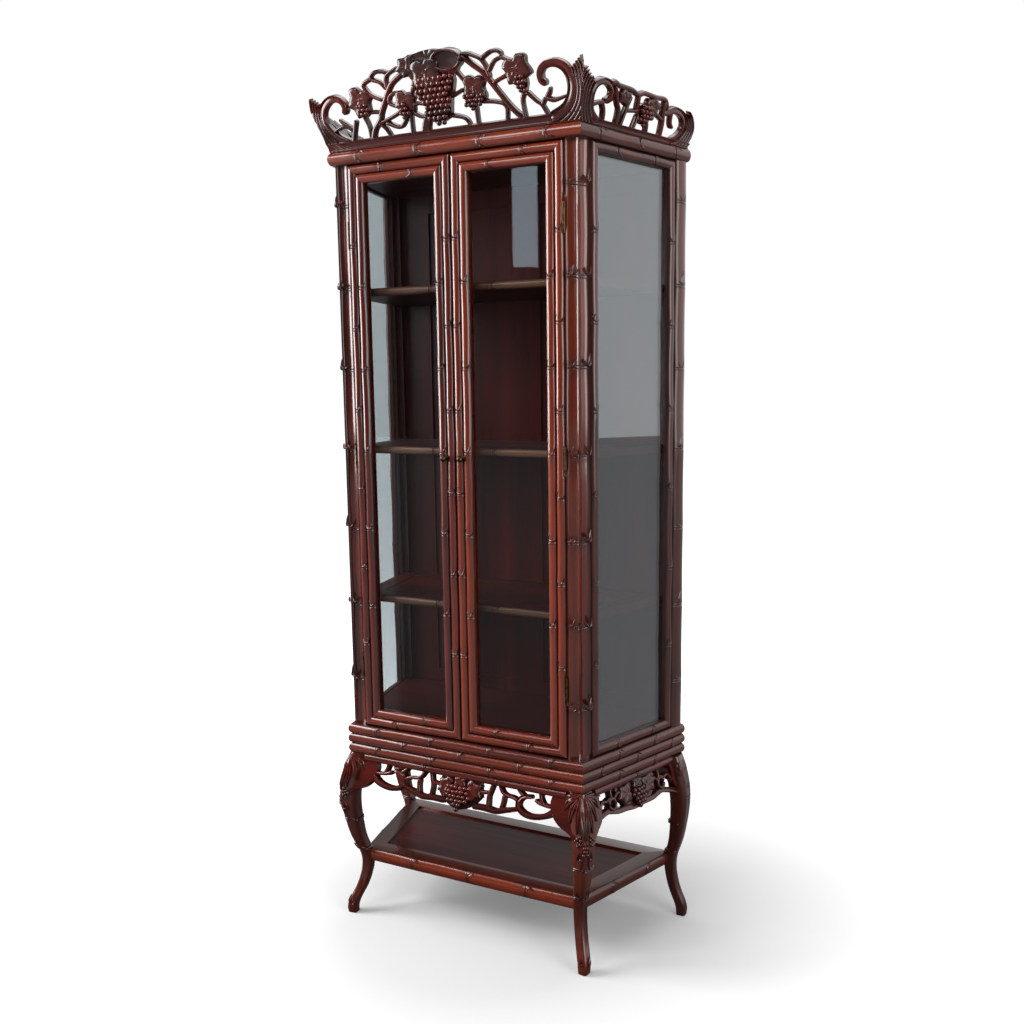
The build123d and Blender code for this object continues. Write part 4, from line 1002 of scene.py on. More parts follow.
def leaf(shape, panel, x, s, length, width, turn, base=3.0, rise=6.0, side=1):
    """A five-pointed vine leaf, domed, with raised veins and its edge turned down."""
    centre = Vector((x * side * panel.stretch, s))
    heading = Vector((math.cos(math.radians(turn)) * side, math.sin(math.radians(turn))))
    beside = Vector((-heading.y, heading.x))
    edge = [*LEAF_EDGE, *[(-a, r) for a, r in reversed(LEAF_EDGE[1:-1])]]

    def spot(angle, reach):
        a = math.radians(angle)
        return centre + heading * math.cos(a) * reach * length / 2 + beside * math.sin(a) * reach * width / 2

    outline = smooth([spot(a, r) for a, r in edge], 2, closed=True)

    def front(point):
        away = point - centre
        u, v = away.dot(heading) / (length / 2), away.dot(beside) / (width / 2)
        radius, angle = math.hypot(u, v), abs(math.degrees(math.atan2(v, u)))
        for (a0, r0), (a1, r1) in zip(LEAF_EDGE, LEAF_EDGE[1:]):
            if angle <= a1:
                reach = r0 + (r1 - r0) * (angle - a0) / (a1 - a0)
                break
        share = min(1.0, radius / reach)
        vein = 0.0
        for tip in LEAF_TIPS:
            t = math.radians(tip)
            ahead, off = u * math.cos(t) + v * math.sin(t), abs(-u * math.sin(t) + v * math.cos(t))
            if ahead > 0:
                vein = max(vein, math.exp(-(off * length / 2 / 1.3) ** 2))
        height = base + rise * (1 - share ** 3) ** 0.6 * (0.45 + 0.55 * share) + 2.2 * vein * (1 - share)
        # Painted shade: darker between the veins, and darkest on the edge that turns down.
        return height, (1 - vein) * (0.35 if share < 0.8 else 0.75)

    slab(shape, panel, outline, front, step=2.6)


SEEDS = random.Random(7)


def grapes(panel, outline, radius, base, dome, twin=None, side=1):
    """A heap of grapes over an outline, higher towards its middle."""
    outline = smooth(panel.drawn(outline, side), 3, closed=True)
    middle = sum(outline, Vector((0, 0))) / len(outline)
    reach = max((p - middle).length for p in outline)
    step = radius * 1.78
    y, row = min(p.y for p in outline) + radius * 0.3, 0
    while y < max(p.y for p in outline):
        x = min(p.x for p in outline) + (0.5 * step if row % 2 else 0.0)
        while x < max(p.x for p in outline):
            point = Vector((x + SEEDS.uniform(-1, 1) * radius * 0.13,
                            y + SEEDS.uniform(-1, 1) * radius * 0.13))
            if inside(point, outline):
                share = (point - middle).length / reach
                size = radius * SEEDS.uniform(0.92, 1.08)
                height = base + dome * (1 - share ** 2) + SEEDS.uniform(0, 1.0)
                copy_at(GRAPE, panel.at(point.x, point.y, height), panel.up, panel.out, 2 * size * MM,
                        size * MM, twin=twin)
            x += step
        y += step * 0.87
        row += 1


def backing(height, dark=0.7):
    """The front of a patch that lies behind grapes, at one height, darkened all over as painted shade."""
    return lambda point: (height, dark)


# The crest band's moulded edge: up it, out of the panel, and painted shade, darkest in its grooves and on
# its back.
BAND_EDGE = ((-6, -8, 0.5), (-6, 5.0, 0.5), (0, 6.5, 0.3), (2.5, 7.5, 0), (4.5, 7.2, 0), (5.5, 5.2, 0.7),
             (9, 3.6, 0.2), (14, 4.4, 0), (17, 6.0, 0), (18, 5.2, 0.6), (19, 6.8, 0), (20.5, 7.0, 0),
             (21.5, 5.5, 0.1), (21.5, -8, 0.5))
BAND_TOP, SIDE_BAND_TOP = BAND_EDGE[-1][0], 14.5
BAND_HALF = 420             # longer than any crest, and cut back at the mitres


def base_band(shape, panel, half, top):
    """The moulded band along a crest's foot."""
    rings, stains = [], []
    for x in (-half, -half / 3, half / 3, half):
        rings.append([panel.at(x, s * top / BAND_TOP, n) for s, n, dark in BAND_EDGE])
        stains.append([dark for s, n, dark in BAND_EDGE])
    shape.loft(rings, stains)


FRONT_PANEL = Panel(Vector((0, CASE_FRONT + CREST_SET, CREST_FOOT)), X_AXIS, -Y_AXIS, CREST_LEAN,
                    FRONT_STRETCH)
SIDE_PANEL = Panel(on_side(SIDE_LENGTH / 2, CREST_SET, CREST_FOOT), SIDE_BACKWARD, SIDE_OUT, CREST_LEAN,
                   SIDE_STRETCH)
ON_FOOT = (Vector((0, 0, CREST_FOOT)), -UP)
FRONT_SCROLLS = (((-270, 14), (-303, 28), (-326, 48), (-336, 70), (-329, 92), (-308, 107), (-286, 110),
                  (-269, 102), (-264, 87), (-273, 77)),
                 ((268, 14), (308, 30), (327, 55), (329, 82), (318, 102), (297, 112), (273, 110), (260, 99),
                  (260, 84), (272, 76)))
FRONT_HORN = ((276, 0), (296, 14), (318, 30), (334, 52), (336, 78), (330, 98), (337, 99), (341, 91),
              (345, 101), (349, 93), (354, 104), (362, 109), (372, 104), (400, 90), (400, 0))
FRONT_STEMS = (((-207, 14), (-196, 36), (-174, 55), (-167, 68), (-151, 88), (-135, 108), (-118, 123),
                (-84, 138)),
               ((56, 156), (78, 148), (99, 131), (120, 115), (139, 91), (158, 65), (177, 41), (205, 14)))
FRONT_VINES = (
    ((-134, 110), (-136, 123), (-134, 133), (-125, 141), (-94, 150)),
    ((-127, 141), (-139, 147), (-160, 148), (-173, 142), (-173, 135), (-152, 127), (-138, 112)),
    ((-174, 137), (-199, 129), (-197, 119), (-184, 105), (-155, 92)),
    ((-200, 73), (-168, 70)),
    ((-219, 70), (-210, 45), (-212, 14)),
    ((-179, 50), (-163, 35), (-152, 14)),
    ((-243, 62), (-252, 44), (-266, 14)),
    ((-184, 46), (-147, 55), (-121, 63), (-106, 72)),
    ((-159, 48), (-125, 35), (-106, 46), (-96, 62)),
    ((-87, 62), (-94, 14)),
    ((-112, 103), (-132, 99), (-138, 84), (-114, 75)),
    ((-58, 121), (-74, 96)),
    ((-76, 74), (-60, 76), (-34, 70)),
    ((-80, 60), (-60, 50), (-30, 45)),
    ((56, 152), (85, 154), (104, 148), (122, 138), (132, 119), (135, 102)),
    ((122, 140), (149, 150), (168, 148), (172, 138), (151, 131), (134, 114)),
    ((168, 138), (196, 126)),
    ((182, 104), (156, 97), (140, 92)),
    ((48, 134), (60, 118), (74, 100)),
    ((28, 79), (66, 90)),
    ((104, 62), (140, 57), (163, 46), (157, 14)),
    ((87, 56), (84, 14)),
    ((20, 44), (55, 34), (65, 14)),
    ((214, 68), (205, 52), (206, 14)),
    ((218, 68), (239, 48), (251, 39), (264, 14)))
SCROLL_SPRAYS = (((-256, 40), (-277, 52), (-309, 46)), ((-262, 46), (-280, 58), (-291, 68)),
                 ((250, 38), (262, 50), (282, 45), (312, 50)), ((262, 50), (272, 60), (277, 70)))
FRONT_LEAVES = ((-217, 101, 80, 70, 250), (-93, 86, 66, 62, 255), (204, 114, 82, 72, 285),
                (93, 92, 76, 64, 262))
FRONT_GRAPES = (((-226, 92), (-200, 92), (-197, 74), (-212, 62), (-224, 74)),
                ((-110, 78), (-84, 78), (-84, 62), (-98, 52), (-108, 62)),
                ((198, 98), (222, 98), (226, 80), (212, 62), (198, 78)),
                ((66, 78), (96, 80), (92, 60), (80, 50), (66, 60)),
                ((94, 82), (120, 78), (116, 62), (104, 58)))
MIDDLE_LEAF = ((-98, 151), (-90, 142), (-82, 135), (-72, 137), (-64, 128), (-56, 117), (-46, 112),
               (-34, 108), (-24, 98), (-10, 91), (4, 97), (14, 104), (26, 105), (40, 112), (50, 118),
               (60, 126), (70, 138), (75, 150), (66, 160), (50, 166), (34, 169), (19, 170), (2, 173),
               (-16, 173), (-32, 171), (-46, 169), (-56, 163), (-63, 156), (-72, 150), (-82, 148))
MIDDLE_BUNCH = ((-58, 120), (-56, 94), (-44, 78), (-36, 62), (-32, 40), (-10, 32), (18, 40), (27, 60),
                (32, 76), (42, 95), (46, 122), (0, 130))


def middle_leaf_front(point):
    """The big leaf over the bunch: veins from its crown, and one lobe rolled into a dish."""
    x, s = point
    crown = Vector((-8, 160))
    away = point - crown
    angle = math.degrees(math.atan2(-away.x, -away.y))
    fold = math.cos(math.radians(angle) * 6)
    height = 10.0 + 2.0 * fold * min(1.0, away.length / 30) - 0.0006 * away.length_squared
    # Painted shade in the hollows between the folds, and, below, inside the rolled dish.
    dark = 0.3 + 0.5 * (0.5 - 0.5 * fold) * min(1.0, away.length / 25)
    u, v = (x - 38) / 33, (s - 148) / 19
    across, up = u * 0.94 + v * 0.2, v * 0.98 - u * 0.12
    ring = math.hypot(across, up)
    if ring < 1.25:
        height = 10.0 - 3.0 * max(0.0, 1 - ring)
        dark = 0.5 * (ring < 0.9)
    return height, dark


FRONT_FLUTE = ((262, 12), (300, 24), (322, 42), (331, 64), (330, 86), (328, 97))
SIDE_FLUTE = ((-128, 6), (-160, 12), (-180, 28), (-188, 48), (-187, 66), (-183, 72))
END_FLUTE = ((136, 4), (160, 8), (178, 22), (184, 40), (175, 54), (164, 61))


def flutes(shape, panel, line, middle, sizes, side):
    """Ribs that sweep up beside a scroll, each around the one before, and end in a tip."""
    for size in sizes:
        points = [(middle[0] + (x - middle[0]) * size, middle[1] + (s - middle[1]) * size) for x, s in line]
        stroke(shape, panel, points, (7, 8.5, 9, 9, 8, 2), 5.0, 2.0, -8.0, side=side)


def crest_front():
    """The front crest: vine, leaves and grapes between two scrolls, on a moulded band."""
    panel = FRONT_PANEL
    shape = Shape()
    base_band(shape, panel, BAND_HALF, BAND_TOP)
    for points in FRONT_SCROLLS:
        stroke(shape, panel, points, (21, 20, 19, 18, 15, 14), 5.0, 3.0, section=BEADED_STROKE)
    for side in (1, -1):
        outline = smooth(panel.drawn(FRONT_HORN, side), 2, closed=True)
        slab(shape, panel, outline, backing(2.5, 0.85), -8.0, 5.0)
        flutes(shape, panel, FRONT_FLUTE, (291, 72), (1.16, 1.33, 1.50, 1.67, 1.84), side)
    for points in FRONT_STEMS:
        stroke(shape, panel, points, (12, 10.5, 10.5, 12), 5.0, 1.5)
    for points in FRONT_VINES:
        stroke(shape, panel, points, (9.5, 8.0, 8.5), 4.5, 1.0)
    for points in SCROLL_SPRAYS:
        stroke(shape, panel, points, (9, 10, 6), 4.5, 0.5)
    for x, s, length, width, turn in FRONT_LEAVES:
        leaf(shape, panel, x, s, length, width, turn, 3.0, 6.5)
    stroke(shape, panel, ((-38, 52), (-50, 34), (-58, 12)), (18, 20, 24), 4.0, 2.0, section=BEADED_STROKE)
    slab(shape, panel, smooth(panel.drawn(MIDDLE_BUNCH), 2, closed=True), backing(6.0), step=6.0)
    slab(shape, panel, smooth(panel.drawn(MIDDLE_LEAF), 2, closed=True), middle_leaf_front, step=2.2)
    leaf(shape, panel, -18, 134, 92, 84, 272, 12.0, 7.5)
    leaf(shape, panel, -62, 150, 70, 46, 190, 9.0, 6.0)
    ring = [(40 + 35 * math.cos(math.pi * i / 7) + 6 * math.sin(math.pi * i / 7),
             149 + 18 * math.sin(math.pi * i / 7)
             - 5 * math.cos(math.pi * i / 7)) for i in range(15)]
    stroke(shape, panel, ring, (6, 8, 6), 5.0, 11.0, -7.0)
    grapes(panel, MIDDLE_BUNCH, 6.9, 8.0, 6.5)
    for outline in FRONT_GRAPES:
        slab(shape, panel, smooth(panel.drawn(outline), 2, closed=True), backing(3.0), step=6.0)
        grapes(panel, outline, 5.3, 5.5, 5.0)
    piece("crest_front_carving", shape.mesh("crest", [*FRONT_CUTS, ON_FOOT]), CARVED, "cabinet", "rosewood",
          "crest_front")


SIDE_SCROLLS = (((-150, 8), (-180, 24), (-191, 50), (-187, 70), (-170, 82), (-145, 83), (-125, 73),
                 (-124, 58), (-142, 47)),
                ((84, 60), (98, 63), (120, 70), (150, 67), (170, 54), (172, 36), (158, 20), (136, 10)))
SIDE_STEMS = (((-135, 80), (-119, 88), (-105, 84), (-56, 83), (-28, 78), (-6, 84), (43, 83), (76, 84),
               (92, 68)),
              ((78, 82), (80, 60), (88, 40), (92, 8)))
SIDE_VINES = (((-140, 46), (-162, 42), (-184, 34)), ((-150, 48), (-135, 30), (-130, 8)),
              ((-116, 82), (-95, 52), (-84, 40), (-82, 8)), ((-52, 72), (-60, 40), (-66, 8)),
              ((-62, 42), (-30, 46), (-4, 50)), ((-24, 78), (-20, 50)), ((-10, 42), (-18, 8)),
              ((56, 52), (86, 44)), ((30, 32), (36, 8)), ((112, 66), (118, 44), (132, 34)))
SIDE_LEAVES = ((-72, 66, 52, 36, 170), (30, 62, 62, 48, 20))
SIDE_GRAPES = (((-12, 60), (8, 66), (34, 56), (30, 40), (10, 24), (-10, 34)),)
SIDE_HORN = ((-300, 0), (-300, 80), (-256, 80), (-248, 90), (-242, 82), (-236, 92), (-228, 84), (-220, 91),
             (-212, 84), (-199, 87), (-188, 72), (-186, 52), (-176, 26), (-160, 6), (-160, 0))
SIDE_END = ((128, 0), (214, 0), (211, 20), (204, 34), (198, 50), (184, 58), (172, 68), (160, 70), (176, 50),
            (174, 30), (158, 12))


def crest_sides():
    """The two side crests."""
    panel = SIDE_PANEL
    shape = Shape()
    base_band(shape, panel, BAND_HALF, SIDE_BAND_TOP)
    for points in SIDE_SCROLLS:
        stroke(shape, panel, points, (16, 15.5, 15, 14, 11), 5.0, 2.5, section=BEADED_STROKE)
    slab(shape, panel, smooth(panel.drawn(SIDE_HORN), 2, closed=True), backing(2.5, 0.85), -8.0, 5.0)
    flutes(shape, panel, SIDE_FLUTE, (-152, 52), (1.22, 1.46, 1.70, 1.94, 2.18, 2.42), 1)
    slab(shape, panel, smooth(panel.drawn(SIDE_END), 2, closed=True), backing(2.0, 0.85), step=5.0)
    flutes(shape, panel, END_FLUTE, (140, 38), (1.0, 1.22, 1.44, 1.66), 1)
    for points in SIDE_STEMS:
        stroke(shape, panel, points, (11, 10, 9.5), 4.5, 1.5)
    for points in SIDE_VINES:
        stroke(shape, panel, points, (9, 8, 8.5), 4.5, 1.0)
    for x, s, length, width, turn in SIDE_LEAVES:
        leaf(shape, panel, x, s, length, width, turn, 3.0, 6.5)
    for outline in SIDE_GRAPES:
        slab(shape, panel, smooth(panel.drawn(outline), 2, closed=True), backing(3.0), step=6.0)
        grapes(panel, outline, 5.4, 6.0, 5.0, twin="cabinet")
    pair("crest_{}_carving", shape.mesh("crest", [*SIDE_CUTS, ON_FOOT]), CARVED, "cabinet", "rosewood",
         "crest_{}")


# ---- aprons ----
UNDER_STAND = (Vector((0, 0, STAND_TOP)), UP)
APRON_FRONT = Panel(Vector((0, CASE_FRONT + APRON_SET, STAND_TOP)), X_AXIS, -Y_AXIS, APRON_LEAN,
                    FRONT_STRETCH)
APRON_SIDE = Panel(on_side(SIDE_LENGTH / 2, APRON_SET, STAND_TOP), SIDE_BACKWARD, SIDE_OUT, APRON_LEAN,
                   SIDE_STRETCH)
SHOULDER = ((330, 4), (330, -98), (316, -94), (304, -88), (290, -83), (276, -74), (264, -62), (256, -46),
            (254, -30), (258, -14), (250, -8), (246, 4))
APRON_SCROLL = ((266, -50), (250, -62), (230, -69), (205, -72), (183, -68), (168, -57), (168, -43),
                (180, -33), (202, -30))
APRON_LIP = ((172, -60), (150, -66), (128, -71), (108, -76), (90, -75), (70, -74), (40, -75))
APRON_STRUTS = (((262, -44), (240, -43), (222, -40), (210, -34)), ((182, -32), (168, -24), (152, -8)),
                ((168, -46), (150, -39), (130, -37), (118, -30), (108, -14)),
                ((124, -37), (124, -52), (120, -70)), ((92, -14), (86, -34), (82, -48), (84, -72)),
                ((88, -38), (70, -40), (40, -42)), ((222, -14), (226, -30), (236, -44)))


def rod_along_top(shape, panel, half, nodes):
    """The bamboo rod along an apron's top, with buds at its nodes."""
    foot = panel.at(0, -APRON_ROD_TOP - APRON_ROD, 2.0)
    height = APRON_ROD * MM
    rods = [((0, 7 * MM), (height, 7 * MM), -7 * MM, nodes)]
    bamboo_member(shape, foot, panel.up, panel.out, 2 * half,
                  [(height + 4 * MM, 7 * MM), (height + 4 * MM, -9 * MM),
                                                              (0, -9 * MM)], rods)


def apron_front():
    """The front apron: scrolls and struts under a rod, a leaf and grapes in the middle."""
    panel = APRON_FRONT
    shape = Shape()
    rod_along_top(shape, panel, CASE_X - 40 * MM, [APRON_NODE, -APRON_NODE])
    for side in (1, -1):
        outline = smooth(panel.drawn(SHOULDER, side), 2, closed=True)
        slab(shape, panel, outline, lambda p: (9.5 + 0.05 * (abs(p.x) - 250), 0.15), -9.0, 4.0)
        stroke(shape, panel, APRON_SCROLL, (16, 13, 13, 12, 11, 10), 5.0, 5.0, -9.0, BEADED_STROKE, side)
        stroke(shape, panel, APRON_LIP, (10, 13, 14, 14), 5.0, 4.0, -9.0, BEADED_STROKE, side)
        for points in APRON_STRUTS:
            stroke(shape, panel, points, (9, 8.5, 9.5), 4.5, 3.5, -9.0, side=side)
        copy_at(FLAME, panel.at(side * 98, -11, 9.0), panel.across * side, panel.out, 18 * MM, 7 * MM)
    outline = ((-46, -14), (-58, -30), (-62, -50), (-50, -66), (-30, -80), (0, -90), (30, -80), (50, -66),
               (62, -50), (58, -30), (46, -14))
    slab(shape, panel, smooth(panel.drawn(outline), 2, closed=True), backing(6.0), -9.0, 6.0)
    leaf(shape, panel, -34, -40, 62, 56, 205, 8.0, 8.0)
    leaf(shape, panel, 34, -40, 62, 56, -25, 8.0, 8.0)
    leaf(shape, panel, 0, -28, 40, 40, 90, 9.0, 7.0)
    grapes(panel, ((-32, -38), (-34, -58), (-20, -76), (0, -90), (20, -76), (34, -58), (32, -38), (0, -32)),
           6.2, 10.0, 7.0)
    piece("apron_front_carving", shape.mesh("apron", [UNDER_STAND]), CARVED, "cabinet", "rosewood",
          "apron_front")


SIDE_LIP = ((-196, -88), (-176, -76), (-156, -68), (-123, -63), (-86, -71), (-51, -73), (-17, -76),
            (20, -75), (60, -75), (98, -69), (128, -74), (156, -82), (180, -92), (196, -100))


def apron_sides():
    """The two side aprons, a ring either side of the vine."""
    panel = APRON_SIDE
    shape = Shape()
    rod_along_top(shape, panel, SIDE_LENGTH / 2 - 40 * MM, [0.0])
    stroke(shape, panel, SIDE_LIP, (12, 13, 14, 13, 12), 5.0, 4.0, -9.0, BEADED_STROKE)
    for side in (1, -1):
        points = ((210, 4), (210, -112), (196, -104), (176, -88), (160, -76), (152, -56), (154, -34),
                  (146, -14), (140, 4))
        outline = smooth(panel.drawn(points, side), 2, closed=True)
        slab(shape, panel, outline, lambda p: (9.0, 0.15), -9.0, 4.0)
        stroke(shape, panel, ((152, -54), (140, -40), (122, -42), (106, -38), (90, -42), (80, -34),
                              (60, -34)),
               (9, 8, 8, 9), 4.5, 3.5, -9.0, side=side)
        turns = [2 * math.pi * i / 10 for i in range(11)]
        ring = [(104 + 13 * math.cos(a), -52 + 12 * math.sin(a)) for a in turns]
        stroke(shape, panel, ring, (8, 8, 8), 5.0, 5.0, -9.0, side=side)
        stroke(shape, panel, ((96, -16), (102, -28), (98, -42)), (8, 7.5), 4.5, 3.0, -9.0, side=side)
    outline = ((-70, -14), (-74, -40), (-60, -62), (-20, -74), (20, -74), (60, -66), (76, -40), (70, -14))
    slab(shape, panel, smooth(panel.drawn(outline), 2, closed=True), backing(4.0), -9.0, 6.0)
    leaf(shape, panel, -44, -42, 62, 56, 190, 7.0, 7.0)
    leaf(shape, panel, 46, -40, 64, 54, 10, 7.0, 7.0)
    leaf(shape, panel, 4, -30, 46, 42, 80, 7.5, 7.0)
    grapes(panel, ((-26, -40), (-24, -62), (0, -80), (26, -62), (28, -40), (0, -34)), 5.8, 9.0, 6.0,
           twin="cabinet")
    copy_at(FLAME, panel.at(4, -11, 9.0), panel.across, panel.out, 18 * MM, 7 * MM, twin="cabinet")
    pair("apron_{}_carving", shape.mesh("apron", [UNDER_STAND]), CARVED, "cabinet", "rosewood", "apron_{}")


crest_front()
crest_sides()
apron_front()
apron_sides()


# ---- carving on the legs ----
# A front leg's drop below the case, how far its faces stand beyond the case's, and its side.
KNEE_LINE = ((0, 2.5, 41), (32, 14.5, 45), (75, 23.5, 45), (125, 23.5, 41), (175, 16, 36), (220, 5.5, 31),
             (264.5, -8.5, 27), (324, -4.5, 25), (351, 4.5, 25), (374, 14.5, 25), (392, 18, 24),
             (406, 16, 22))
LEG_ROUND = 0.26            # radius of a leg's edges, as a share of its side
RING_DROPS = (165, 244)     # where the raised rings lie, below the case
LEG_GRAPE_WIDTH, LEG_GRAPE_RISE = 8.6 * MM, 4.3 * MM
LEG_TURN = -SPLAY / 2
LEG_CORNER = Vector((math.sin(MITRE), -math.cos(MITRE), 0))


def leg_line(drop):
    """A front leg's stand-out and side at a drop below the case."""
    for (d0, o0, s0), (d1, o1, s1) in zip(KNEE_LINE, KNEE_LINE[1:]):
        if drop <= d1:
            t = max(0.0, (drop - d0) / (d1 - d0))
            t = t * t * (3 - 2 * t) * 0.4 + t * 0.6
            return o0 + (o1 - o0) * t, s0 + (s1 - s0) * t
    return KNEE_LINE[-1][1:]


class LegFace:
    """A leg's outer face, unrolled: millimetres from its outer corner, up from the case, and out."""

    stretch = 1.0

    def __init__(self, corner, diagonal, across, out, joins_apron):
        self.corner = corner
        self.diagonal = diagonal
        self.across = across
        self.out = out
        self.joins_apron = joins_apron
        self.up = UP

    def at(self, x, s, n):
        stand_out, side = leg_line(-s)
        round_off = side * LEG_ROUND
        if x < round_off:
            n -= round_off - math.sqrt(max(0.0, round_off ** 2 - (round_off - x) ** 2))
        offset = stand_out
        if self.joins_apron and x > side - 8:
            apron = -6.0 + 0.306 * -s
            t = min(1.0, (x - side + 8) / 26)
            n += (max(apron, -6.0) + 2.0 - stand_out) * t
        place = self.corner + (self.diagonal * offset + self.across * x + self.out * n) * MM
        return Vector((place.x, place.y, STAND_TOP + s * MM))

    def drawn(self, points, side=1):
        return [Vector(p) for p in points]


def turned(vector, angle):
    return Matrix.Rotation(angle, 3, "Z") @ vector


FRONT_FACE = LegFace(CORNER, LEG_CORNER * math.sqrt(2), turned(-X_AXIS, LEG_TURN), turned(-Y_AXIS, LEG_TURN),
                     True)
SIDE_FACE = LegFace(CORNER, LEG_CORNER * math.sqrt(2), turned(Y_AXIS, LEG_TURN), turned(X_AXIS, LEG_TURN),
                    True)
BACK_CORNER = Vector((high("post_back_right").x, CASE_BACK, 0))
BACK_FACE = LegFace(BACK_CORNER, X_AXIS, -Y_AXIS, X_AXIS, False)

# A leaflet's section: across, height (None for the back), and painted shade on its sides and back and in its
# middle groove.
LEAFLET_SECTION = ((-1.0, None, 0.8), (-1.0, -0.1, 0.5), (-0.7, 0.75, 0.0), (-0.3, 0.8, 0.1),
                   (-0.12, 0.35, 0.6), (0.12, 0.35, 0.6), (0.3, 0.8, 0.1), (0.7, 0.75, 0.0),
                   (1.0, -0.1, 0.5), (1.0, None, 0.8))
# Knee leaflets: spine from the leg's top corner, and widths along it.
KNEE_FAN = ((((3, -6), (6, -30), (5, -60), (3, -92)), (5, 13, 15, 3)),
            (((4, -5), (14, -26), (20, -50), (22, -80)), (5, 12, 14, 2)),
            (((5, -4), (22, -20), (34, -38), (42, -62)), (5, 12, 13, 2)),
            (((6, -3), (28, -12), (46, -24), (60, -42)), (5, 12, 12, 2)),
            (((7, -3), (30, -7), (52, -12), (72, -22)), (5, 10, 10, 2)))


def ring_round(shape, corner, diagonal, drop, angle, back_leg=False):
    """A pair of thin raised rings round a leg."""
    rings, stains = [], []
    # Steps along the leg, swell, and painted shade, darkest in the groove between the rings and where they
    # meet the leg.
    for step, swell, dark in ((-4.2, -0.5, 0.7), (-3.6, 1.0, 0.3), (-2.4, 2.0, 0), (-1.2, 1.0, 0.5),
                              (0, 0.6, 0.8), (1.2, 1.0, 0.5), (2.4, 2.0, 0), (3.6, 1.0, 0.3),
                              (4.2, -0.5, 0.7)):
        stand_out, side = leg_line(drop - step)
        half = side / 2
        if back_leg:
            centre = corner + (X_AXIS * (stand_out - half) - Y_AXIS * half) * MM
        else:
            centre = corner + diagonal * (stand_out - half) * MM
        reach, radius = half + swell, side * LEG_ROUND + swell
        points = []
        for quarter in range(4):
            for k in range(5):
                a = math.pi / 2 * (quarter + k / 4)
                sx = 1 if quarter in (0, 3) else -1
                sy = 1 if quarter in (0, 1) else -1
                local = Vector((sx * (reach - radius) + radius * math.cos(a), sy * (reach - radius)
                                + radius * math.sin(a), 0)) * MM
                place = centre + turned(local, angle)
                points.append(Vector((place.x, place.y, STAND_TOP - (drop - step) * MM)))
        rings.append(points)
        stains.append([dark] * len(points))
    shape.loft(rings, stains)


def legs():
    """Leaf fans, hanging grapes, rings and toe buds on the legs."""
    shape = Shape()
    for face in (FRONT_FACE, SIDE_FACE):
        for spine, widths in KNEE_FAN:
            stroke(shape, face, spine, widths, 4.5, 0.8, -4.0, LEAFLET_SECTION)
        stroke(shape, face, ((4, -96), (10, -120), (9, -146), (14, -164)), (6, 7, 6, 3), 3.5, 0.3, -4.0)
        stroke(shape, face, ((8, -112), (18, -128), (22, -140)), (4, 8, 3), 3.5, 0.3, -4.0, LEAFLET_SECTION)
        for x, s in ((14, -84), (20, -90), (12, -92), (18, -98), (25, -95), (13, -101), (20, -106),
                     (4, -108), (3, -116), (5, -124), (12, -137)):
            copy_at(GRAPE, face.at(x, s, 2.0), face.up, face.out, LEG_GRAPE_WIDTH, LEG_GRAPE_RISE,
                    twin="cabinet")
        for kind, drop, width in ((FLAME, 386, 17), (VEE, 240, 20)):
            along = (face.at(12, 10 - drop, 0) - face.at(12, -drop, 0)).normalized()
            out = (face.out - along * face.out.dot(along)).normalized()
            copy_at(kind, face.at(12, -drop, -1.5), along, out, width * MM, 5 * MM, twin="cabinet")
    for drop in RING_DROPS:
        ring_round(shape, CORNER, FRONT_FACE.diagonal, drop, LEG_TURN)
    pair("leg_front_{}_carving", shape.mesh("leg_carving"), CARVED, "cabinet", "rosewood")
    shape = Shape()
    for spine, widths in KNEE_FAN[:4]:
        for turn in (1, -1):
            line = [(20 + turn * (x - 3) * 0.5, s) for x, s in spine]
            stroke(shape, BACK_FACE, line, widths, 4.0, 0.5, -4.0, LEAFLET_SECTION)
    for drop in RING_DROPS:
        ring_round(shape, BACK_CORNER, X_AXIS, drop, 0.0, back_leg=True)
    for x, s in ((14, -96), (21, -98), (27, -96), (17, -104), (24, -105), (20, -112)):
        copy_at(GRAPE, BACK_FACE.at(x, s, 2.0), UP, X_AXIS, LEG_GRAPE_WIDTH, LEG_GRAPE_RISE, twin="cabinet")
    pair("leg_back_{}_carving", shape.mesh("leg_carving"), CARVED, "cabinet", "rosewood")


legs()

carve_copies()


# ---- floor, light and camera ----
bpy.context.scene.view_settings.view_transform = "Standard"


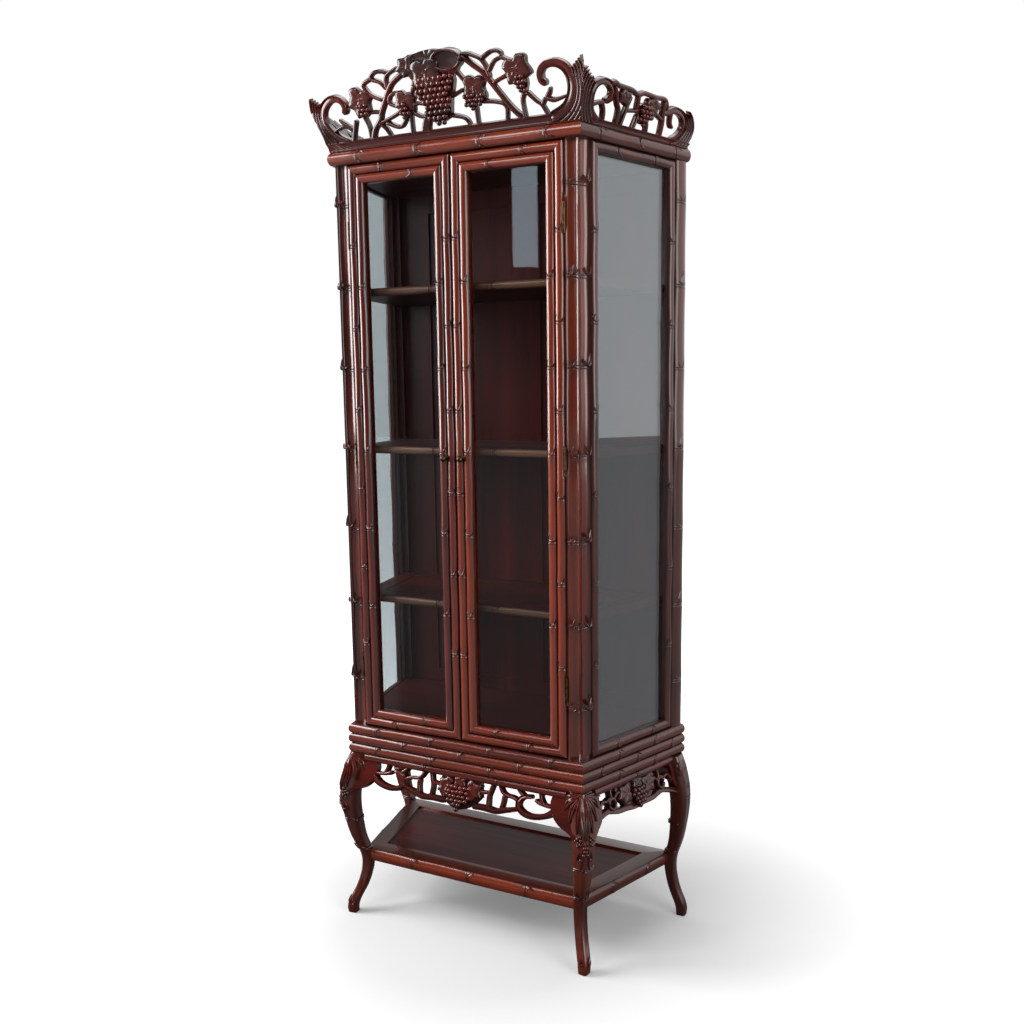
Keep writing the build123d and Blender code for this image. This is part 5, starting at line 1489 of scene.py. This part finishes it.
def studio():
    """A pale floor that keeps the shadow, and a room that is pale behind and to the right."""
    finish = Finish("studio_floor")
    seen = finish.node("ShaderNodeLightPath")
    mirrored = finish.node("ShaderNodeLightPath", output="Is Glossy Ray")
    pale = finish.mix(seen, colour(0.14, 0.135, 0.13), colour(0.8, 0.8, 0.8))
    plain = finish.node("ShaderNodeBsdfDiffuse", Color=finish.mix(mirrored, pale, colour(0, 0, 0)))
    away = finish.node("ShaderNodeVectorMath", {"operation": "LENGTH"}, output=1,
                       Vector=finish.place((1, 1, 1)))
    # Painted shade round the cabinet's foot: the floor's glow is weak near the cabinet and grows to white
    # further off.
    far = finish.mix(finish.ramp(away, 0.35, 1.5), colour(0.15, 0.15, 0.15), colour(1, 1, 1))
    white = finish.node("ShaderNodeEmission", Color=far, Strength=seen + mirrored * 0.34)
    white_floor = finish.done(finish.node("ShaderNodeAddShader", i0=plain, i1=white))
    half = 20.0
    data = bpy.data.meshes.new("floor")
    z = FLOOR - 0.0005
    data.from_pydata([(-half, -half, z), (half, -half, z), (half, half, z), (-half, half, z)], [],
                     [(0, 1, 2, 3)])
    data.materials.append(white_floor)
    floor = bpy.data.objects.new("floor", data)
    bpy.context.scene.collection.objects.link(floor)
    world = bpy.data.worlds.new("studio")
    bpy.context.scene.world = world
    world.use_nodes = True
    tree = world.node_tree
    tree.nodes.clear()
    path = tree.nodes.new("ShaderNodeLightPath")
    room = tree.nodes.new("ShaderNodeTexCoord")
    facing = tree.nodes.new("ShaderNodeVectorMath")
    facing.operation = "DOT_PRODUCT"
    facing.inputs[1].default_value = Vector((0.75, 0.66, 0.0)).normalized()
    tree.links.new(room.outputs["Generated"], facing.inputs[0])
    ramp = tree.nodes.new("ShaderNodeMapRange")
    for name, value in (("From Min", -0.25), ("From Max", 0.75), ("To Min", 0.05), ("To Max", 1.0)):
        ramp.inputs[name].default_value = value
    tree.links.new(facing.outputs["Value"], ramp.inputs["Value"])
    lit = tree.nodes.new("ShaderNodeMix")
    tree.links.new(path.outputs["Is Glossy Ray"], lit.inputs[0])
    lit.inputs[2].default_value = 0.18
    tree.links.new(ramp.outputs[0], lit.inputs[3])
    seen = tree.nodes.new("ShaderNodeMix")
    tree.links.new(path.outputs["Is Camera Ray"], seen.inputs[0])
    tree.links.new(lit.outputs[0], seen.inputs[2])
    seen.inputs[3].default_value = 1.0
    background = tree.nodes.new("ShaderNodeBackground")
    background.inputs["Color"].default_value = (1, 1, 1, 1)
    tree.links.new(seen.outputs[0], background.inputs["Strength"])
    output = tree.nodes.new("ShaderNodeOutputWorld")
    tree.links.new(background.outputs[0], output.inputs["Surface"])


def lamp(name, place, aim, width, height, power, tint=(1, 1, 1)):
    """A soft box that shines from place towards aim."""
    data = bpy.data.lights.new(name, "AREA")
    data.shape = "RECTANGLE"
    data.size, data.size_y = width, height
    data.energy = power
    data.color = tint
    thing = bpy.data.objects.new(name, data)
    bpy.context.scene.collection.objects.link(thing)
    thing.location = place
    thing.rotation_euler = (Vector(aim) - Vector(place)).to_track_quat("-Z", "Y").to_euler()


def camera():
    """The camera, a little above the middle and to the right of the front."""
    yaw, pitch, roll = math.radians(27.236), math.radians(8.2937), math.radians(-0.3666)
    focal_px, centre_px, centre_py, frame_px = 1060.22, 564.126, 539.947, 1024.0
    back = Vector((math.sin(yaw) * math.cos(pitch), -math.cos(yaw) * math.cos(pitch), math.sin(pitch)))
    right = (-back).cross(UP).normalized()
    top = right.cross(-back)
    turned_right = right * math.cos(roll) + top * math.sin(roll)
    turned_top = top * math.cos(roll) - right * math.sin(roll)
    data = bpy.data.cameras.new("camera")
    data.sensor_width = 36.0
    data.lens = focal_px / frame_px * data.sensor_width
    data.shift_x = (frame_px / 2 - centre_px) / frame_px
    data.shift_y = (centre_py - frame_px / 2) / frame_px
    data.clip_start, data.clip_end = 0.05, 60.0
    thing = bpy.data.objects.new("camera", data)
    bpy.context.scene.collection.objects.link(thing)
    place = Vector((1.27256, CASE_FRONT - 1.9487, 1.2765))
    axes = Matrix((turned_right, turned_top, back)).transposed()
    thing.matrix_world = Matrix.Translation(place) @ axes.to_4x4()
    bpy.context.scene.camera = thing


studio()
lamp("key", (-2.7, -1.3, 2.1), (0, 0, 1.2), 1.7, 2.4, 118)
lamp("window", (-1.27, -2.71, 2.07), (0.178, -0.12, 1.62), 0.12, 0.46, 1.1, (0.80, 0.90, 1.0))
lamp("fill", (2.9, -1.0, 1.9), (0, 0, 0.9), 1.6, 2.0, 30)
lamp("front", (-0.7, -2.6, 3.1), (0, 0, 1.5), 1.8, 0.7, 22)
lamp("top", (0, 0.2, 3.6), (0, 0, 0), 2.2, 1.6, 30)
camera()


def dress_nodes():
    """Finishes for the CAD nodes that show."""
    for node, thing in frame["nodes"].items():
        if "door_glass" in node:
            surface = DOOR_GLASS
        elif "glass" in node:
            surface = SIDE_GLASS
        elif "knob" in node or "leaves" in node or "pins" in node:
            surface = BRASS
        elif "board" in node or "shelf" in node:
            surface = INSIDE_WOOD["Z" if "back" in node else "X"]
        elif node == "tray_panel":
            surface = INSIDE_WOOD["X"]
        elif "leg" in node:
            surface = LEG_WOOD
        else:
            surface = WOOD["X"]
        for slot in thing.material_slots:
            slot.material = surface


dress_nodes()
